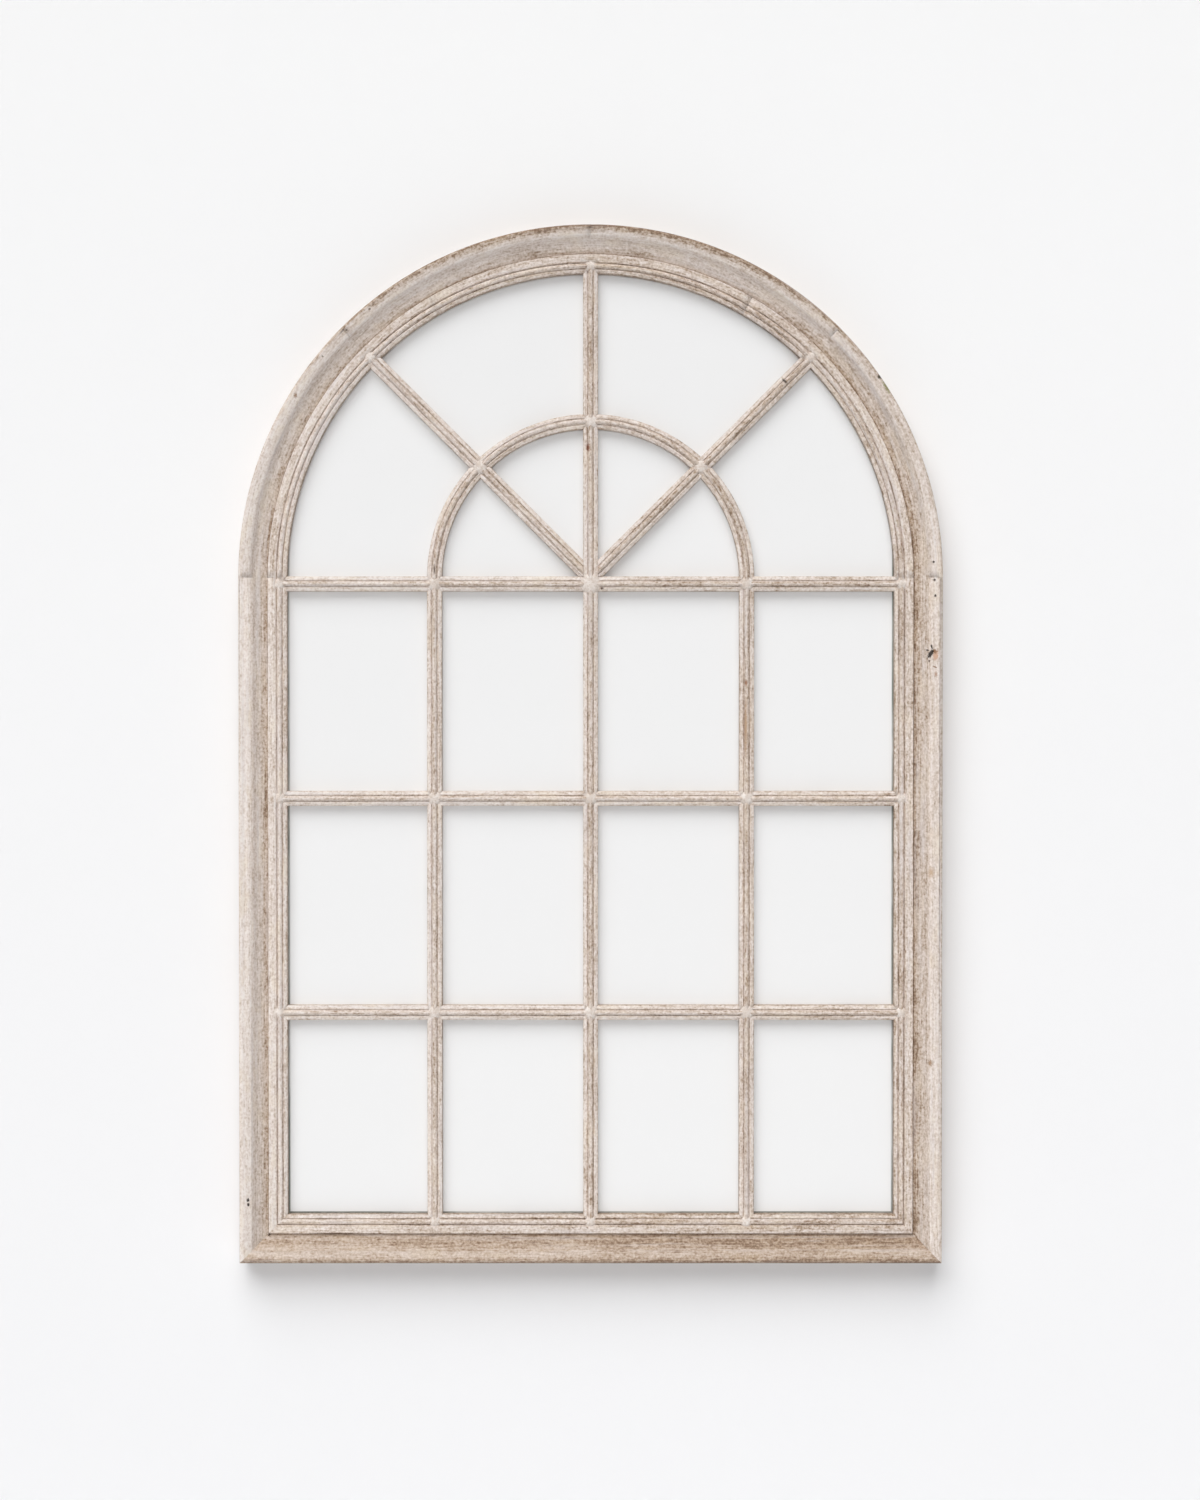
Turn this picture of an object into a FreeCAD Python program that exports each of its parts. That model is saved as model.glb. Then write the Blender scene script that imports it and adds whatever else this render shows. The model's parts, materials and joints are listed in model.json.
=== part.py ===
import FreeCAD, Part
import math
import os
import re
import Sketcher

# An arched window mirror: a moulded outer frame with a half-round head, a sash with a moulded edge set
# into it, a grille of glazing bars halved and mitred where they cross, and one arched sheet of mirror
# behind the grille, closed by a backing board with two ring hangers on the stiles.
#
# X runs across, Y from the viewer to the wall, Z up, and the origin is the middle of the bottom face.
# Each piece is drawn about the centre of the arch, on the flat back, and its Placement carries it from
# there. Across a member, u counts inwards from the outer edge; v counts from a bar's middle line; and
# height counts forwards from the flat back, so that y = -height in a drawing.

DIMENSIONS = [
    # the whole frame
    ("overall_width", 900, "over the outer edges, twice the radius of the head"),
    ("straight_height", 878, "bottom edge to the centre of the arch"),
    # outer moulding
    ("rim_height", 40, "highest line of the moulding, above the back"),
    ("rim_radius", 3.6, "rounding of the outer edge"),
    ("rim_flat", 1.4, "flat on top of the rim"),
    ("moulding_width", 36, "outer edge to the inner edge of the moulding"),
    ("crest_width", 10.1, "outer edge to the middle of the rounded crest"),
    ("crest_height", 38.9, "height there"),
    ("brow_width", 15, "outer edge to where the moulding turns hollow"),
    ("brow_height", 37, "height there"),
    ("cheek_width", 19.3, "outer edge to the upper third of the hollow"),
    ("cheek_height", 31, "height there"),
    ("scoop_width", 24.9, "outer edge to the lower third of the hollow"),
    ("scoop_height", 26.7, "height there"),
    ("foot_width", 31.5, "outer edge to the foot of the hollow"),
    ("foot_height", 24.6, "height there"),
    ("quirk_height", 23, "height of the moulding at its inner edge"),
    # rebates in the back of the moulding
    ("flange_height", 15, "shoulder that the sash bears against"),
    ("flange_width", 8, "width of that shoulder"),
    ("board_ledge", 8, "width of the ledge that the board lies on"),
    ("board_recess", 3, "back of the board below the flat back"),
    # sash
    ("sash_height", 28, "top of the beads above the back"),
    ("sash_width", 24.4, "visible width of the sash"),
    ("sash_gap", 0.6, "open joint between moulding and sash"),
    ("fillet_drop", 1.0, "flat of the sash below the bead"),
    ("glass_cover", 11.5, "how far the sash laps over the mirror"),
    # glazing bars: the sash's inner edge has the same section
    ("bar_width", 19, "width of a glazing bar"),
    ("bead_radius", 3.6, "round bead along the middle of a bar"),
    ("groove_width", 1.3, "sloping side of the groove beside the bead"),
    ("groove_depth", 4.2, "depth of the groove below the bead"),
    ("band_drop", 2.2, "side band below the bead, beside the groove"),
    ("band_fall", 1.6, "fall of the side band to its outer edge"),
    ("mitre_depth", 5.2, "moulded layer of a bar that is mitred at a crossing"),
    ("mitre_land", 0.5, "wood left at the middle of a mitred crossing, each side of the line"),
    ("bar_pitch", 200, "between the upright bars, and radius of the inner arch"),
    ("springing_drop", 7.5, "springing bar below the centre of the arch"),
    ("transom_pitch", 275, "between the level bars"),
    ("fan_angle", 45, "radial bars from the upright"),
    # joints in the wood
    ("tenon_length", 8, "stub tenon on a bar's end"),
    ("tenon_height", 14, "back of the tenon above the back"),
    ("tenon_thickness", 6, "thickness of the tenon"),
    ("tenon_shoulder", 3, "shoulder at each side of the tenon"),
    ("spline_length", 24, "loose tongue across a joint of the outer frame"),
    ("spline_width", 14, "width of that tongue"),
    ("spline_thickness", 4, "thickness of that tongue"),
    ("spline_height", 19, "middle of that tongue above the back"),
    ("spline_inset", 13, "middle of that tongue from the outer edge, in the head"),
    ("corner_inset", 20, "middle of that tongue from the two outer edges, at a corner"),
    ("sash_spline_length", 16, "loose tongue across a joint of the sash"),
    ("sash_spline_width", 10, "width of that tongue"),
    ("sash_spline_thickness", 3, "thickness of that tongue"),
    ("sash_spline_height", 15.5, "middle of that tongue above the back"),
    ("sash_spline_inset", 45, "middle of that tongue from the outer edge, in the head"),
    ("sash_corner_inset", 49.5, "middle of that tongue from the two outer edges, at a corner"),
    ("joint_clearance", 0.15, "play around tenons and tongues"),
    # mirror and backing board
    ("mirror_thickness", 4, "silvered glass"),
    ("mirror_clearance", 1.0, "play round the mirror's sides and top"),
    ("mirror_slack", 0.2, "play behind the mirror"),
    ("board_thickness", 4, "backing board"),
    ("board_clearance", 0.5, "play round the board"),
    ("point_width", 8, "steel point that holds the board"),
    ("point_bite", 7, "how far a point is driven into the wood"),
    ("point_reach", 7, "how far it lies over the board"),
    ("point_tip", 3, "length of its tapered tip"),
    ("point_gauge", 0.6, "thickness of a point"),
    ("point_clearance", 0.1, "round a point in the wood"),
    ("side_point_pitch", 290, "between the points on a stile"),
    ("side_point_start", 60, "first of them below the centre of the arch"),
    ("foot_point_pitch", 270, "between the points along the bottom"),
    # hangers
    ("hanger_drop", 110, "ring's pin below the centre of the arch"),
    ("screw_shank_radius", 1.6, "wood screws of the straps, over the corners"),
    ("screw_head_radius", 3.4, "their heads"),
    ("screw_head_height", 2.2, "their heads"),
    ("screw_length", 14, "under the head"),
    ("screw_play", 0.3, "round the shank in the strap"),
    ("pilot_clearance", 0.05, "round the shank in the wood"),
    ("hanger_inset", 15, "strap's middle line from the outer edge"),
    ("wire_radius", 1.5, "wire of the ring"),
    ("eye_clearance", 0.08, "ring's wire in the folded strap"),
    ("strap_gauge", 1.5, "sheet of the strap"),
    ("strap_width", 13, "width of the strap"),
    ("strap_length", 42, "pin to the strap's lower end"),
    ("upper_screw_drop", 12, "pin to the upper screw, inside the ring"),
    ("lower_screw_drop", 34, "pin to the lower screw"),
    ("ring_width", 20, "between the middle lines of the ring's arms"),
    ("ring_drop", 18, "pin to the middle line of the ring's bow"),
    ("ring_shoulder", 6, "how much of the drop the slanting corners take"),
    ("ring_bow", 9, "length of the level stretch of the bow"),
    ("ring_rest_gap", 0.3, "between the hanging ring and its strap"),
    # bumpers
    ("bumper_width", 14, "square pad"),
    ("bumper_height", 7, "stand-off from the wall, more than the hangers stand out"),
    ("bumper_inset", 4, "from the two outer edges"),
]

doc = FreeCAD.newDocument("ArchedWindowMirror")
sheet = doc.addObject("Spreadsheet::Sheet", "Sizes")
for row, (alias, number, note) in enumerate(DIMENSIONS, start=1):
    sheet.set(f"A{row}", alias)
    sheet.set(f"B{row}", str(number))
    sheet.set(f"C{row}", note)
    sheet.setAlias(f"B{row}", alias)
doc.recompute()

# Derived sizes, as expressions of the named ones.
HALF = "(overall_width / 2)"
FOOT = "(-straight_height)"
LIP = "(moulding_width + sash_gap + sash_width)"  # u of the sash's inner edge
LIP_X = f"({HALF} - {LIP})"
LIP_Z = f"({FOOT} + {LIP})"
HALF_BAR = "(bar_width / 2)"
SEAT = "(board_recess + board_thickness)"  # height of the board's front
BACK = "((rim_height - bumper_height) / 2)"  # y of the flat back, so that the origin is at mid-depth
FACE = f"({SEAT} + mirror_slack + mirror_thickness)"  # height of the mirror's front
BEVEL = "(1 - sqrt(0.5))"  # share of a radius that a middle flat keeps from the corner
CORE = "(sash_height - mitre_depth)"  # height where a bar's moulded layer begins
POINT = f"({HALF_BAR} - mitre_land)"  # how far a mitred point reaches
MIDDLE = f"(({FACE} + {CORE}) / 2)"  # height where two crossing bars are halved
FLANGE = "(moulding_width - flange_width)"  # u of the sash's hidden outer edge
LEDGE = f"({FLANGE} - board_ledge)"  # u of the board's edge
SPRINGING = "(-springing_drop)"
TRANSOMS = [SPRINGING, f"({SPRINGING} - transom_pitch)", f"({SPRINGING} - 2 * transom_pitch)"]
LEVELS = ["-bar_pitch", "0", "bar_pitch"]
PIN_Z = "(-hanger_drop)"
EYE_RADIUS = "(wire_radius + eye_clearance)"
EYE_OUTER = f"({EYE_RADIUS} + strap_gauge)"  # also the pin's distance behind the back
STRAP_LINE = f"({HALF} - hanger_inset)"
SCREW_DROPS = ("upper_screw_drop", "lower_screw_drop")
HEAD_PIECES = 4  # curved pieces in the outer head
SASH_HEAD_PIECES = 3  # curved pieces in the sash's head, so that their joints are staggered
MARGIN = "1"  # how far a cutting shape runs past the wood


def bound(text):
    """Write each size's name as a reference to its cell."""
    return re.sub(r"\b([a-z]+_\w+)\b", r"Sizes.\1", text)


def value(text):
    return float(sheet.evalExpression(bound(text)))


def plane_of(body, role):
    return next(item for item in body.Origin.OriginFeatures if item.Role == role)


def sketch(body, name, role, loops, shift="0", turn="0", swing="0"):
    """A closed sketch, each corner held to the sizes.

    A corner is (x, y), or (x, y, (x, y, radius)) where an arc about that centre leads to the next corner.
    A loop of one item is a circle. shift moves the sketch along its plane's normal, turn turns it in that
    plane and swing turns it about its upright axis.
    """
    drawing = body.newObject("Sketcher::SketchObject", name)
    drawing.AttachmentSupport = [(plane_of(body, role), "")]
    drawing.MapMode = "FlatFace"
    upright = FreeCAD.Rotation(FreeCAD.Vector(0, 1, 0), value(swing))
    if swing == "0":
        upright = FreeCAD.Rotation(FreeCAD.Vector(0, 0, 1), value(turn))
    drawing.AttachmentOffset = FreeCAD.Placement(FreeCAD.Vector(0, 0, value(shift)), upright)
    if shift != "0":
        drawing.setExpression("AttachmentOffset.Base.z", bound(shift))
    for loop in loops:
        if len(loop) == 1:
            draw_circle(drawing, *loop[0])
        else:
            draw_loop(drawing, loop)
    return drawing


def hold(drawing, kind, *where, size):
    """Add a dimension and tie it to its cells."""
    index = drawing.addConstraint(Sketcher.Constraint(kind, *where, value(size)))
    drawing.setExpression(f"Constraints[{index}]", bound(size))


def draw_circle(drawing, x, y, radius):
    centre = FreeCAD.Vector(value(x), value(y), 0)
    up = FreeCAD.Vector(0, 0, 1)
    item = drawing.addGeometry(Part.Circle(centre, up, value(radius)), False)
    hold(drawing, "DistanceX", -1, 1, item, 3, size=x)
    hold(drawing, "DistanceY", -1, 1, item, 3, size=y)
    hold(drawing, "Radius", item, size=radius)


def draw_loop(drawing, loop):
    corners = [FreeCAD.Vector(value(corner[0]), value(corner[1]), 0) for corner in loop]
    first_ends = []
    for index, corner in enumerate(loop):
        start, end = corners[index], corners[(index + 1) % len(loop)]
        if len(corner) == 2:
            item = drawing.addGeometry(Part.LineSegment(start, end), False)
            first_ends.append((item, 1, 2))
            continue
        arc = corner[2]
        radius = value(arc[2])
        centre = FreeCAD.Vector(value(arc[0]), value(arc[1]), 0)
        angles = [math.atan2(point.y - centre.y, point.x - centre.x) for point in (start, end)]
        leftward = (angles[1] - angles[0]) % (2 * math.pi) < math.pi
        low, high = angles if leftward else reversed(angles)
        circle = Part.Circle(centre, FreeCAD.Vector(0, 0, 1), radius)
        item = drawing.addGeometry(Part.ArcOfCircle(circle, low, high), False)
        first_ends.append((item, 1, 2) if leftward else (item, 2, 1))
        hold(drawing, "Radius", item, size=arc[2])
    for index, (item, start, end) in enumerate(first_ends):
        following = first_ends[(index + 1) % len(loop)]
        drawing.addConstraint(Sketcher.Constraint("Coincident", item, end, following[0], following[1]))
        hold(drawing, "DistanceX", -1, 1, item, start, size=loop[index][0])
        hold(drawing, "DistanceY", -1, 1, item, start, size=loop[index][1])


def carry(node):
    """Place a piece that is drawn about the centre of the arch on the frame's own origin."""
    node.setExpression("Placement.Base.y", bound(BACK))
    node.setExpression("Placement.Base.z", bound("straight_height"))


def new_body(label):
    body = doc.addObject("PartDesign::Body", label.title().replace("_", ""))
    body.Label = label
    carry(body)
    return body


def turn_about(node, axis, angle):
    node.Placement = FreeCAD.Placement(node.Placement.Base, FreeCAD.Rotation(FreeCAD.Vector(*axis), angle))


def pad(body, drawing, length):
    """Raise a sketch along its plane's normal."""
    feature = body.newObject("PartDesign::Pad", drawing.Name + "_pad")
    feature.Profile = drawing
    feature.setExpression("Length", bound(length))
    return feature


def pocket(body, drawing, depth):
    """Cut a sketch away, from its plane against the plane's normal."""
    feature = body.newObject("PartDesign::Pocket", drawing.Name + "_cut")
    feature.Profile = drawing
    feature.setExpression("Length", bound(depth))
    return feature


def front_cut(body, name, loops, top, bottom, turn="0"):
    """Cut loops drawn in the front view, between two heights."""
    drawing = sketch(body, name, "XZ_Plane", loops, shift=top, turn=turn)
    return pocket(body, drawing, f"{top} - ({bottom})")


def spin(body, drawing, angle, reverse=False):
    """Sweep a section round the arch's axis."""
    feature = body.newObject("PartDesign::Revolution", drawing.Name + "_arc")
    feature.Profile = drawing
    feature.ReferenceAxis = (drawing, ["V_Axis"])
    feature.Reversed = reverse
    feature.setExpression("Angle", bound(angle))
    return feature


def rectangle(low_x, low_y, high_x, high_y):
    return [(low_x, low_y), (high_x, low_y), (high_x, high_y), (low_x, high_y)]


def tilted_rectangle(x, y, half_along, half_across, lean):
    """A rectangle about a point, its long side at 45 degrees: up to the right for a lean of 1."""
    corners = []
    for along, across in ((1, 1), (1, -1), (-1, -1), (-1, 1)):
        right = f"{lean} * ({along} * {half_along} - {across} * {half_across}) * sqrt(0.5)"
        up = f"({along} * {half_along} + {across} * {half_across}) * sqrt(0.5)"
        corners.append((f"{x} + {right}", f"{y} + {up}"))
    return corners


# ---- sections, as corners (u or v, height) ----


def placed(corners, place):
    """A section's corners, turned by place() into a sketch's own x and y."""
    return [place(across, height) for across, height in corners]


def moulding_section():
    """Outer moulding: blunted rim, crest, hollow, and two rebates behind."""
    return [
        ("0", "0"),
        ("0", "rim_height - rim_radius"),
        (f"rim_radius * {BEVEL}", f"rim_height - rim_radius * {BEVEL}"),
        ("rim_radius", "rim_height"),
        ("rim_radius + rim_flat", "rim_height"),
        ("crest_width", "crest_height"),
        ("brow_width", "brow_height"),
        ("cheek_width", "cheek_height"),
        ("scoop_width", "scoop_height"),
        ("foot_width", "foot_height"),
        ("moulding_width", "quirk_height"),
        ("moulding_width", "flange_height"),
        (FLANGE, "flange_height"),
        (FLANGE, SEAT),
        (LEDGE, SEAT),
        (LEDGE, "0"),
    ]


def half_bar_section(middle, way):
    """The bar's moulded half from its side wall to the bead's crown, about the line u = middle."""
    corners = [
        (HALF_BAR, "sash_height - band_drop - band_fall"),
        ("bead_radius + groove_width", "sash_height - band_drop"),
        ("bead_radius", "sash_height - groove_depth"),
        (f"bead_radius * (1 - {BEVEL})", f"sash_height - bead_radius * {BEVEL}"),
        ("0", "sash_height"),
    ]
    return [(f"{middle} + {way} * ({v})", height) for v, height in corners]


def bar_section():
    near = half_bar_section("0", 1)
    far = half_bar_section("0", -1)[-2::-1]
    return [(HALF_BAR, FACE), *near, *far, (f"-{HALF_BAR}", FACE)]


def sash_section():
    """Sash: flange, flat fillet, then a bar's moulding down to the inner lip, rebated behind."""
    bead_line = f"({LIP} - {HALF_BAR})"
    outer = "moulding_width + sash_gap"
    fillet = "sash_height - fillet_drop"
    return [
        (f"{FLANGE} + joint_clearance", SEAT),
        (f"{FLANGE} + joint_clearance", "flange_height"),
        (outer, "flange_height"),
        (outer, fillet),
        (f"{bead_line} - bead_radius - groove_width", fillet),
        *half_bar_section(bead_line, -1)[2:],
        *half_bar_section(bead_line, 1)[-2::-1],
        (LIP, FACE),
        (f"{LIP} - glass_cover", FACE),
        (f"{LIP} - glass_cover", SEAT),
    ]


def beside(side):
    """Section of an upright member or of the arch's foot, in plan: side is -1 left, 1 right."""
    return lambda u, height: (f"{side} * ({HALF} - ({u}))", f"-({height})")


def below(u, height):
    """Section of a bottom member, seen along X: the sketch's own x and y are Y and Z."""
    return f"-({height})", f"{FOOT} + ({u})"


def upright(middle):
    return lambda v, height: (f"{middle} + ({v})", f"-({height})")


def level(middle):
    return lambda v, height: (f"-({height})", f"{middle} + ({v})")


# ---- cuts that the pieces share, drawn in the front view ----


def corner_mitres(side, first_u, last_u, keep):
    """What a 45 degree mitre takes off at a bottom corner, from an upright or a bottom member."""
    near, far = f"{first_u} - {MARGIN}", f"{last_u} + {MARGIN}"
    third = (far, near) if keep == "upright" else (near, far)
    points = [(near, near), third, (far, far)]
    return [(f"{side} * ({HALF} - ({u}))", f"{FOOT} + ({z})") for u, z in points]


def seat_point(x, lip, way):
    """The V that takes a bar's mitred end, its mouth on the lip. way is 1 where it points up, -1 down."""
    half = f"({POINT} + {MARGIN})"
    mouth = f"{lip} - {way} * {MARGIN}"
    return [(f"{x} - {half}", mouth), (f"{x} + {half}", mouth), (x, f"{lip} + {way} * {POINT}")]


def swapped(loop):
    """The same loop with its two axes changed over, for the ends of level bars."""
    return [(corner[1], corner[0]) for corner in loop]


def mortise(x, lip, way):
    half = f"({HALF_BAR} - tenon_shoulder + joint_clearance)"
    end = f"{lip} + {way} * (tenon_length + joint_clearance)"
    return rectangle(f"{x} - {half}", f"{lip} - {way} * {MARGIN}", f"{x} + {half}", end)


def tenon(x, lip, way):
    half = f"({HALF_BAR} - tenon_shoulder)"
    start, end = f"{lip} - {way} * tenon_length", f"{lip} + {way} * tenon_length"
    return rectangle(f"{x} - {half}", start, f"{x} + {half}", end)


def end_corners(x, lip, way):
    """The two corners that leave a bar's moulded end pointed."""
    half = f"({HALF_BAR} + {MARGIN})"
    beyond = f"{lip} + {way} * {half}"
    loops = []
    for side in (1, -1):
        point, outer = f"{x} + {side} * {POINT}", f"{x} + {side} * {half}"
        tip = (x, f"{lip} + {way} * {POINT}")
        loops.append([(point, lip), (outer, lip), (outer, beyond), (x, beyond), tip])
    return loops


def end_block(x, lip, way):
    """All that lies past the lip, for the core behind a bar's moulded end."""
    half = f"({HALF_BAR} + {MARGIN})"
    return rectangle(f"{x} - {half}", lip, f"{x} + {half}", f"{lip} + {way} * {half}")


def crossing_square(x, z):
    return rectangle(f"{x} - {HALF_BAR}", f"{z} - {HALF_BAR}", f"{x} + {HALF_BAR}", f"{z} + {HALF_BAR}")


def crossing_mitres(x, z):
    """The two triangles that a through bar gives up to the bar that crosses it."""
    deep = f"({POINT} + {MARGIN})"
    loops = []
    for sign in (1, -1):
        near, far = f"{x} + {sign} * mitre_land", f"{x} + {sign} * (mitre_land + {deep})"
        loops.append([(near, z), (far, f"{z} - {deep}"), (far, f"{z} + {deep}")])
    return loops


def crossing_gap(x, z):
    """What the crossing bar gives up in turn: the rest of the square, with a land at its middle."""
    deep = f"({POINT} + {MARGIN})"
    far = f"(mitre_land + {deep})"
    left, right = f"{x} - {far}", f"{x} + {far}"
    above, under = f"{z} + {deep}", f"{z} - {deep}"
    return [
        (left, above),
        (f"{x} - mitre_land", z),
        (left, under),
        (right, under),
        (f"{x} + mitre_land", z),
        (right, above),
    ]


def notch_moulding(body, name, loops, turn="0"):
    """Cut through the moulded layer only."""
    return front_cut(body, name, loops, f"(sash_height + {MARGIN})", CORE, turn)


def cut_mortises(body, name, loops, turn="0"):
    top = "(tenon_height + tenon_thickness + joint_clearance)"
    return front_cut(body, name, loops, top, "tenon_height - joint_clearance", turn)


# ---- outer frame ----


def spline_slot(body, name, place, inset, width, middle, thickness, length, swing="0", forward=True):
    """Half of a slot for a loose tongue, sunk into a joint's face."""
    side = f"({width} / 2 + joint_clearance)"
    deep = f"({thickness} / 2 + joint_clearance)"
    corners = [
        (f"{inset} - {side}", f"{middle} - {deep}"),
        (f"{inset} + {side}", f"{middle} - {deep}"),
        (f"{inset} + {side}", f"{middle} + {deep}"),
        (f"{inset} - {side}", f"{middle} + {deep}"),
    ]
    drawing = sketch(body, name, "XY_Plane", [placed(corners, place)], swing=swing)
    feature = pocket(body, drawing, f"{length} / 2 + joint_clearance")
    feature.Reversed = forward
    return feature


OUTER_SPLINE = ("spline_inset", "spline_width", "spline_height", "spline_thickness", "spline_length")
SASH_SPLINE = (
    "sash_spline_inset",
    "sash_spline_width",
    "sash_spline_height",
    "sash_spline_thickness",
    "sash_spline_length",
)
OUTER_CORNER = ("corner_inset", *OUTER_SPLINE[1:])
SASH_CORNER = ("sash_corner_inset", *SASH_SPLINE[1:])


def corner_slot(body, name, side, spline):
    """Slot for the loose tongue across a bottom corner's mitre."""
    inset, width, middle, thickness, length = spline
    x, z = f"{side} * ({HALF} - {inset})", f"({FOOT} + {inset})"
    along = f"({length} / 2 + joint_clearance)"
    across = f"({width} / 2 + joint_clearance)"
    loop = tilted_rectangle(x, z, along, across, side)
    half = f"({thickness} / 2 + joint_clearance)"
    return front_cut(body, name, [loop], f"({middle} + {half})", f"{middle} - {half}")


def octagon(x, z, radius):
    """Eight corners round a place, for a screw's shank, head and hole and for the ring's wire."""
    corners = []
    for index in range(8):
        angle = 22.5 + 45 * index
        corners.append((f"{x} + {radius} * cos({angle})", f"{z} + {radius} * sin({angle})"))
    return corners


def side_point_heights():
    return [f"-(side_point_start + {index} * side_point_pitch)" for index in range(3)]


def board_points():
    """The points round the board: x, z and the angle of each about the arch's axis, 0 upwards."""
    edge = f"({HALF} - {LEDGE})"
    places = []
    for side in (-1, 1):
        places += [(f"{side} * {edge}", z, str(side * 90)) for z in side_point_heights()]
    places += [(x, f"{FOOT} + {LEDGE}", "180") for x in ("-foot_point_pitch", "0", "foot_point_pitch")]
    for index in range(HEAD_PIECES):
        angle = 90 - (index + 0.5) * 180 / HEAD_PIECES
        places.append((f"{edge} * sin({angle})", f"{edge} * cos({angle})", str(angle)))
    return places


def point_slot(body, name, x, z, angle):
    """The slit that a point is driven into, in the edge of the recess round the board."""
    turn = math.radians(value(angle))
    half = "(point_width / 2 + point_clearance)"
    loop = []
    for across, along in ((-1, -1), (1, -1), (1, 1), (-1, 1)):
        reach = "(point_bite + point_clearance)" if along > 0 else MARGIN
        right = f"{across} * {half} * {math.cos(turn)} + {along} * {reach} * {math.sin(turn)}"
        up = f"{along} * {reach} * {math.cos(turn)} - {across} * {half} * {math.sin(turn)}"
        loop.append((f"{x} + {right}", f"{z} + {up}"))
    gauge = "(point_gauge + point_clearance)"
    return front_cut(body, name, [loop], "board_recess", f"(board_recess - {gauge})")


def outer_stile(side):
    name = "left" if side < 0 else "right"
    body = new_body(f"{name}_stile")
    section = placed(moulding_section(), beside(side))
    drawing = sketch(body, f"{name}_stile_section", "XY_Plane", [section], shift=FOOT)
    pad(body, drawing, "straight_height")
    mitre = corner_mitres(side, "0", "moulding_width", "upright")
    front_cut(body, f"{name}_stile_mitre", [mitre], f"(rim_height + {MARGIN})", f"-{MARGIN}")
    spline_slot(body, f"{name}_stile_head_slot", beside(side), *OUTER_SPLINE, forward=False)
    corner_slot(body, f"{name}_stile_foot_slot", side, OUTER_CORNER)
    edge = f"{side} * ({HALF} - {LEDGE})"
    for index, z in enumerate(side_point_heights()):
        point_slot(body, f"{name}_stile_slit_{index}", edge, z, str(side * 90))
    radius = "(screw_shank_radius + pilot_clearance)"
    holes = [octagon(f"{side} * {STRAP_LINE}", f"({PIN_Z} - {drop})", radius) for drop in SCREW_DROPS]
    front_cut(body, f"{name}_stile_pilots", holes, "screw_length", f"-{MARGIN}")


def bottom_rail():
    body = new_body("bottom_rail")
    section = placed(moulding_section(), below)
    drawing = sketch(body, "bottom_rail_section", "YZ_Plane", [section], shift=f"-{HALF}")
    pad(body, drawing, "overall_width")
    mitres = [corner_mitres(side, "0", "moulding_width", "bottom") for side in (-1, 1)]
    front_cut(body, "bottom_rail_mitres", mitres, f"(rim_height + {MARGIN})", f"-{MARGIN}")
    for side in (-1, 1):
        corner_slot(body, f"bottom_rail_slot_{'left' if side < 0 else 'right'}", side, OUTER_CORNER)
    for index, x in enumerate(("-foot_point_pitch", "0", "foot_point_pitch")):
        point_slot(body, f"bottom_rail_slit_{index}", x, f"{FOOT} + {LEDGE}", "180")


def head_segment(index, name):
    """One curved piece of the outer head. All of them are alike and turned into place."""
    step = 180 / HEAD_PIECES
    body = new_body(name)
    drawing = sketch(body, f"{name}_section", "XY_Plane", [placed(moulding_section(), beside(-1))])
    spin(body, drawing, str(step))
    spline_slot(body, f"{name}_first_slot", beside(-1), *OUTER_SPLINE)
    spline_slot(body, f"{name}_last_slot", beside(-1), *OUTER_SPLINE, swing=str(step), forward=False)
    edge, lean = f"({HALF} - {LEDGE})", step / 2 - 90
    middle = (f"{edge} * sin({lean})", f"{edge} * cos({lean})")
    point_slot(body, f"{name}_slit", *middle, str(lean))
    turn_about(body, (0, 1, 0), index * step)


# ---- sash ----


def sash_stile(side):
    name = "left" if side < 0 else "right"
    body = new_body(f"sash_{name}_stile")
    section = placed(sash_section(), beside(side))
    drawing = sketch(body, f"sash_{name}_section", "XY_Plane", [section], shift=FOOT)
    pad(body, drawing, "straight_height")
    mitre = corner_mitres(side, FLANGE, LIP, "upright")
    below_mitre = rectangle(f"-{HALF}", f"{FOOT} - {MARGIN}", HALF, f"{FOOT} + {FLANGE}")
    top, bottom = f"(sash_height + {MARGIN})", f"-{MARGIN}"
    front_cut(body, f"sash_{name}_foot", [below_mitre], top, bottom)
    front_cut(body, f"sash_{name}_mitre", [mitre], top, bottom)
    lip = f"({side} * {LIP_X})"
    seats = [swapped(seat_point(z, lip, side)) for z in TRANSOMS]
    notch_moulding(body, f"sash_{name}_seats", seats)
    cut_mortises(body, f"sash_{name}_mortises", [swapped(mortise(z, lip, side)) for z in TRANSOMS])
    spline_slot(body, f"sash_{name}_head_slot", beside(side), *SASH_SPLINE, forward=False)
    corner_slot(body, f"sash_{name}_foot_slot", side, SASH_CORNER)


def sash_bottom_rail():
    body = new_body("sash_bottom_rail")
    section = placed(sash_section(), below)
    start = f"({HALF} - {FLANGE})"
    drawing = sketch(body, "sash_bottom_section", "YZ_Plane", [section], shift=f"-{start}")
    pad(body, drawing, f"2 * {start}")
    mitres = [corner_mitres(side, FLANGE, LIP, "bottom") for side in (-1, 1)]
    front_cut(body, "sash_bottom_mitres", mitres, f"(sash_height + {MARGIN})", f"-{MARGIN}")
    notch_moulding(body, "sash_bottom_seats", [seat_point(x, LIP_Z, -1) for x in LEVELS])
    cut_mortises(body, "sash_bottom_mortises", [mortise(x, LIP_Z, -1) for x in LEVELS])
    for side in (-1, 1):
        corner_slot(body, f"sash_bottom_slot_{'left' if side < 0 else 'right'}", side, SASH_CORNER)


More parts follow.
